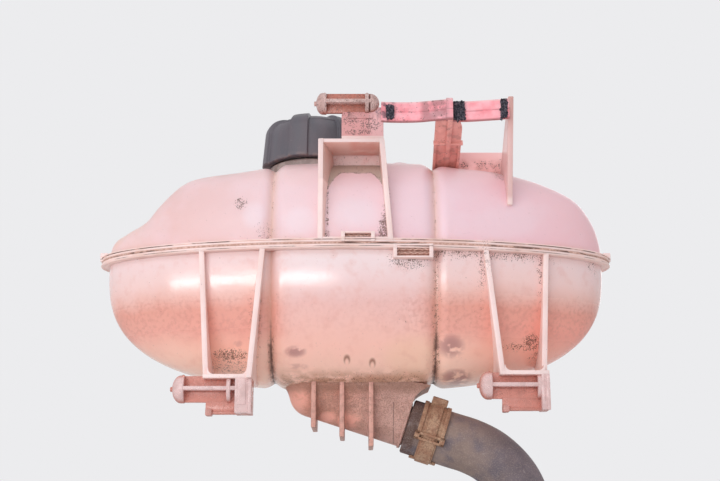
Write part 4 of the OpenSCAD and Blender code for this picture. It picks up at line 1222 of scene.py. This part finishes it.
def capPlastic():
    f = Finish("capPlastic", Specular_IOR_Level=0.5)
    z = f.axis("Z")
    dust = f.smooth(f.cloud(16, 4, (1, 1, 0.5)), 0.4, 0.66)
    f.colour = f.mix(dust * 0.6, (88, 86, 94), (113, 106, 113))
    warm = f.smooth(f.cloud(20, 2, (1, 1, 0.3)), 0.5, 0.64)
    f.paint(warm * 0.3, (108, 88, 94))
    up = f.smooth(f.axis("Z", f.facing), 0.5, 0.95) * f.patches(5, 4, 0.36, 0.66)
    f.paint(up * 0.5, (138, 128, 126))
    low = f.smooth(z, 69, 66) * f.patches(5, 3, 0.42, 0.6)
    f.paint(low * 0.5, (140, 118, 114))
    dots = f.specks(0.8, 0.15)
    f.paint(dots * 0.3, (150, 140, 140))
    return f.done(0.45 + dust * 0.2, f.cloud(0.5, 2) * 0.5 + f.cloud(4, 3) * 0.3, 0.12)


# Spring clamp on the hose


clamp = {
    "place": 7.5, "width": 17, "narrow": 11, "thick": 1.2, "radius": 17.2, "rail": 2.6, "railOut": 0.9,
    "tongueOut": 1.3, "tongueWidth": 7, "secondOut": 0.8,
    "ear": (2.4, 6, 10),  # thick, high, wide
    "crossOut": 3, "barWidth": 1.6, "barShift": 1.7, "endWidth": 5, "endLength": 3.2, "crossPast": 1,
    # degrees round the hose
    "bandFrom": -12, "crossAngle": 285, "narrowTo": 350, "railSpan": (200, 284), "tongueSpan": (205, 290),
    "secondSpan": (290, 372), "ovalAngle": 243,
}


def makeClamp():
    c = clamp
    r, t, w, cross = c["radius"], c["thick"], c["width"], c["crossAngle"]
    out = r + t - 0.1
    middle, half, narrow = w / 2, c["tongueWidth"] / 2, c["narrow"] / 2

    def bent(inner, outer, low, high, span, steps):
        profile = [(inner, low), (outer - 0.25, low), (outer, low + 0.25), (outer, high - 0.25),
                   (outer - 0.25, high), (inner, high)]
        return moved(turned(profile, steps, span[1] - span[0], closed=True), around(span[0]))

    # the band is narrower between the cross piece and the underside
    parts = [bent(r, r + t, 0, w, (c["bandFrom"], cross), 120),
             bent(r, r + t, middle - narrow, middle + narrow, (cross - 2, c["narrowTo"]), 30)]
    rails = ((0, c["rail"]), (w - c["rail"], w))
    parts += [bent(out, r + t + c["railOut"], low, high, c["railSpan"], 40) for low, high in rails]
    parts.append(bent(out, r + t + c["tongueOut"], middle - half, middle + half, c["tongueSpan"], 40))
    # second turn of the band beyond the cross piece
    parts.append(bent(out, r + t + c["secondOut"], middle - half - 1, middle + half + 1, c["secondSpan"], 36))
    # small oval pressed into the tongue
    oval = turned([(0, 0.9), (1.2, 0.8), (1.7, 0.5), (2, 0)], 24)
    moved(oval, Matrix.Diagonal((1, 1.6, 1, 1)))
    place = Matrix.Translation((out + c["tongueOut"], 0, middle))
    parts.append(moved(oval, around(c["ovalAngle"]) @ place @ around(90, "Y")))
    thick, high, wide = c["ear"]
    inner, outer = r + t / 2, r + t / 2 + c["crossOut"]
    low, high = (inner, -thick / 2, middle - wide / 2), (r + t + high - 0.6, thick / 2, middle + wide / 2)
    ear = block(low, high, 0.6)
    parts.append(moved(ear, around(c["tongueSpan"][0])))
    # cross piece: two bars with a slot between them, and two ends
    bar, end, past = c["barWidth"] / 2, c["endWidth"] / 2, c["crossPast"]
    bars = [block((inner, shift - bar, -past), (outer, shift + bar, w + past), 0.4)
            for shift in (-c["barShift"], c["barShift"])]
    bars += [block((inner, -end, low), (outer, end, low + c["endLength"]), 0.4)
             for low in (-past, w + past - c["endLength"])]
    parts += [moved(bar, around(cross)) for bar in bars]
    bm = moved(joined(parts), outletPlace @ Matrix.Translation((0, 0, c["place"])))
    makePiece("hoseClamp", bm, "tank", [rustySteel()], ["hose_clamp"])


def rustySteel():
    f = Finish("rustySteel")
    rust = f.patches(5, 5, 0.4, 0.6)
    f.colour = f.mix(rust, (184, 148, 122), (164, 122, 98))
    fine = f.patches(0.8, 3, 0.48, 0.62)
    f.paint(fine * 0.5, (118, 84, 66))
    pale = f.patches(1, 2, 0.62, 0.68)
    f.paint(pale * 0.4, (186, 154, 134))
    return f.done(0.6 + rust * 0.2, f.cloud(1.2, 4) * 0.6 + fine * 0.4, 0.2, 0.25 - rust * 0.2)


# Crumbling foam on the strap


foamPads = {
    "foam_left": ("left", 19, 24, 0.6), "foam_middle": ("right", 60.6, 67.5, 0.95),
    "foam_right": ("right", 89.5, 93, 0.95), "thick": 1.6, "seat": 0.15, "ragged": 1.7,
}


def foamBlack():
    f = Finish("foamBlack", Specular_IOR_Level=0.25)
    cells = f.patches(1.1, 4, 0.4, 0.6)
    f.colour = f.mix(cells, (52, 50, 60), (100, 95, 106))
    pale = f.patches(1.8, 3, 0.58, 0.7)
    f.paint(pale * 0.6, (160, 134, 140))
    return f.done(0.9, cells, 0.5)


def makeFoam(name, skin):
    run, left, right, share = foamPads[name]
    thick = foamPads["thick"]
    columns, rows = 22, 26
    high = share * (strap["high"] - strap["low"])
    low = (strap["low"] + strap["high"]) / 2 - high / 2
    bm = bmesh.new()
    bmesh.ops.create_cube(bm, size=1)
    for axis, cuts in ((0, columns), (2, rows)):
        edges = [e for e in bm.edges if abs(e.verts[0].co[axis] - e.verts[1].co[axis]) > 0.5]
        bmesh.ops.subdivide_edges(bm, edges=edges, cuts=cuts, use_grid_fill=True)
    for v in bm.verts:
        x = left + (right - left) * (v.co.x + 0.5)
        z = low + high * (v.co.z + 0.5)
        front = upperPeg["y"] - curveAt(strap[run], x) - foamPads["seat"]
        rough = noise.fractal(Vector((x, z, left)) * 0.55, 1, 2, 4) * foamPads["ragged"]
        if abs(v.co.x) > 0.49:
            x += math.copysign(min(0, rough - 0.1), v.co.x)
        if abs(v.co.z) > 0.49:
            z += math.copysign(min(0, rough * 1.4 - 0.2), v.co.z)
        y = front if v.co.y > 0 else front - thick * (0.75 + 0.5 * rough)
        v.co = Vector((x, y, z))
    bmesh.ops.recalc_face_normals(bm, faces=bm.faces)
    piece = makePiece(name.replace("foam_", "foamPad."), bm, "tank", [skin], [name], 60)


# Finishes of the small pieces inside the cap, whose solids stay as they are


def plainFinish(name, dark, light, rough, size, metallic=None, depth=0.08):
    f = Finish(name)
    patches = f.smooth(f.cloud(size, 3), 0.36, 0.66)
    f.colour = f.mix(patches, dark, light)
    fine = f.cloud(size / 6, 3)
    return f.done(rough + patches * 0.1, fine, depth, metallic)


springs = {
    # body, joint, travel in millimetres, end that stays: 0 is the lower one
    "relief_spring": ("cap_insert", "relief_slide", 2, 1),
    "vacuum_spring": ("relief", "vacuum_slide", 1.2, 0),
}


def makeSpring(node, skin):
    # the solid's own coils, copied as they are onto the body that carries them
    body, joint, travel, end = springs[node]
    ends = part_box(node)
    bm = bmesh.new()
    bm.from_mesh(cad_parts[node].data)
    bmesh.ops.remove_doubles(bm, verts=bm.verts, dist=1e-6)
    moved(bm, toFrame.inverted())
    piece = makePiece(node.replace("_spring", "Spring"), bm, body, [skin], [node])
    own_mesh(piece)


def dressInsides():
    black = plainFinish("blackPlastic", (34, 32, 38), (52, 50, 56), 0.4, 5)
    grey = plainFinish("greyPlastic", (134, 130, 134), (158, 154, 158), 0.4, 5)
    rubber = plainFinish("sealRubber", (26, 25, 28), (44, 42, 46), 0.55, 3)
    steel = plainFinish("springSteel", (150, 148, 144), (186, 184, 180), 0.28, 4, 0.9)
    pin = plainFinish("turnedPin", (176, 175, 178), (204, 203, 206), 0.3, 3, 0.9)
    finishes = {
        "valve_housing": black, "relief_valve": black, "cap_clip": grey, "spring_retainer": grey,
        "o_ring_upper": rubber, "o_ring_lower": rubber, "neck_gasket": rubber, "relief_seal": rubber,
        "vacuum_seal": rubber, "vacuum_valve": pin,
    }
    for node, material in finishes.items():
        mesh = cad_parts[node].data
        mesh.materials.clear()
        mesh.materials.append(material)
    for node in springs:
        makeSpring(node, steel)


# Studio


studio = {
    "floorDrop": 6, "floorSize": 6,  # millimetres under the hose, metres
    "worldLight": 0.7,
    # name: degrees round the tank from the front, degrees up, distance in metres, size in metres, watts
    "strip": (-27, 3, 1.5, (1.2, 0.11), 6.2),
    "window": (-20, 27, 1.6, (1.3, 0.3), 3.4),
    "above": (10, 75, 1.6, (1.5, 1.5), 3.3),
    "behind": (165, 20, 1.5, (1.2, 0.8), 3.6),
}


def makeLight(name):
    around, up, distance, size, power = studio[name]
    around, up = math.radians(around), math.radians(up)
    data = bpy.data.lights.new(name, "AREA")
    data.shape = "RECTANGLE"
    data.size, data.size_y = size
    data.energy = power
    light = bpy.data.objects.new(name, data)
    direction = Vector((math.sin(around) * math.cos(up), -math.cos(around) * math.cos(up), math.sin(up)))
    light.location = tankCentre + distance * direction
    light.rotation_euler = direction.to_track_quat("Z", "Y").to_euler()
    bpy.context.scene.collection.objects.link(light)


def makeStudio():
    for name in ("strip", "window", "above", "behind"):
        makeLight(name)
    world = bpy.data.worlds.new("studio")
    bpy.context.scene.world = world
    world.use_nodes = True
    tree = world.node_tree
    rays = tree.nodes.new("ShaderNodeLightPath")
    seen = None
    for output in ("Is Camera Ray", "Is Glossy Ray", "Is Transmission Ray"):
        socket = rays.outputs[output]
        if seen is not None:
            either = tree.nodes.new("ShaderNodeMath")
            either.operation = "MAXIMUM"
            tree.links.new(seen, either.inputs[0])
            tree.links.new(socket, either.inputs[1])
            socket = either.outputs[0]
        seen = socket
    strength = tree.nodes.new("ShaderNodeMapRange")
    strength.inputs["To Min"].default_value = studio["worldLight"]
    strength.inputs["To Max"].default_value = 1
    tree.links.new(seen, strength.inputs["Value"])
    tree.links.new(strength.outputs[0], tree.nodes["Background"].inputs["Strength"])
    tree.nodes["Background"].inputs["Color"].default_value = tint(236, 236, 238)
    bm = bmesh.new()
    bmesh.ops.create_grid(bm, x_segments=1, y_segments=1, size=studio["floorSize"] / 2)
    low = min(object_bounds()[0][2], cadBox[0][2]) - studio["floorDrop"] / 1000
    bmesh.ops.translate(bm, vec=(tankCentre.x, tankCentre.y, low), verts=bm.verts)
    paint = bpy.data.materials.new("floorPaint")
    paint.use_nodes = True
    shader = paint.node_tree.nodes["Principled BSDF"]
    shader.inputs["Base Color"].default_value = tint(236, 236, 236)
    shader.inputs["Roughness"].default_value = 0.9
    floor = bpy.data.objects.new("floor", meshOf("floor", bm, [paint]))
    bpy.context.scene.collection.objects.link(floor)


makeCamera()
print("camera set")
makeHose()
print("hose made")
rimSkin, clearSkin, dirtSkin = rimMilk(), clearMilk(), seamDirt()
upperHalf([upperMilk(), rimSkin, clearSkin, strapPink(), postMilk(), dirtSkin])
lowerHalf([lowerMilk(), rimSkin, clearSkin, sumpMilk(), ribMilk(), dirtSkin])
print("tank made")
makeCap()
makeClamp()
foamSkin = foamBlack()
for padName in ("foam_left", "foam_middle", "foam_right"):
    makeFoam(padName, foamSkin)
dressInsides()
print("small pieces made")
makeStudio()
bpy.context.scene.view_settings.view_transform = "Standard"
print("studio set")
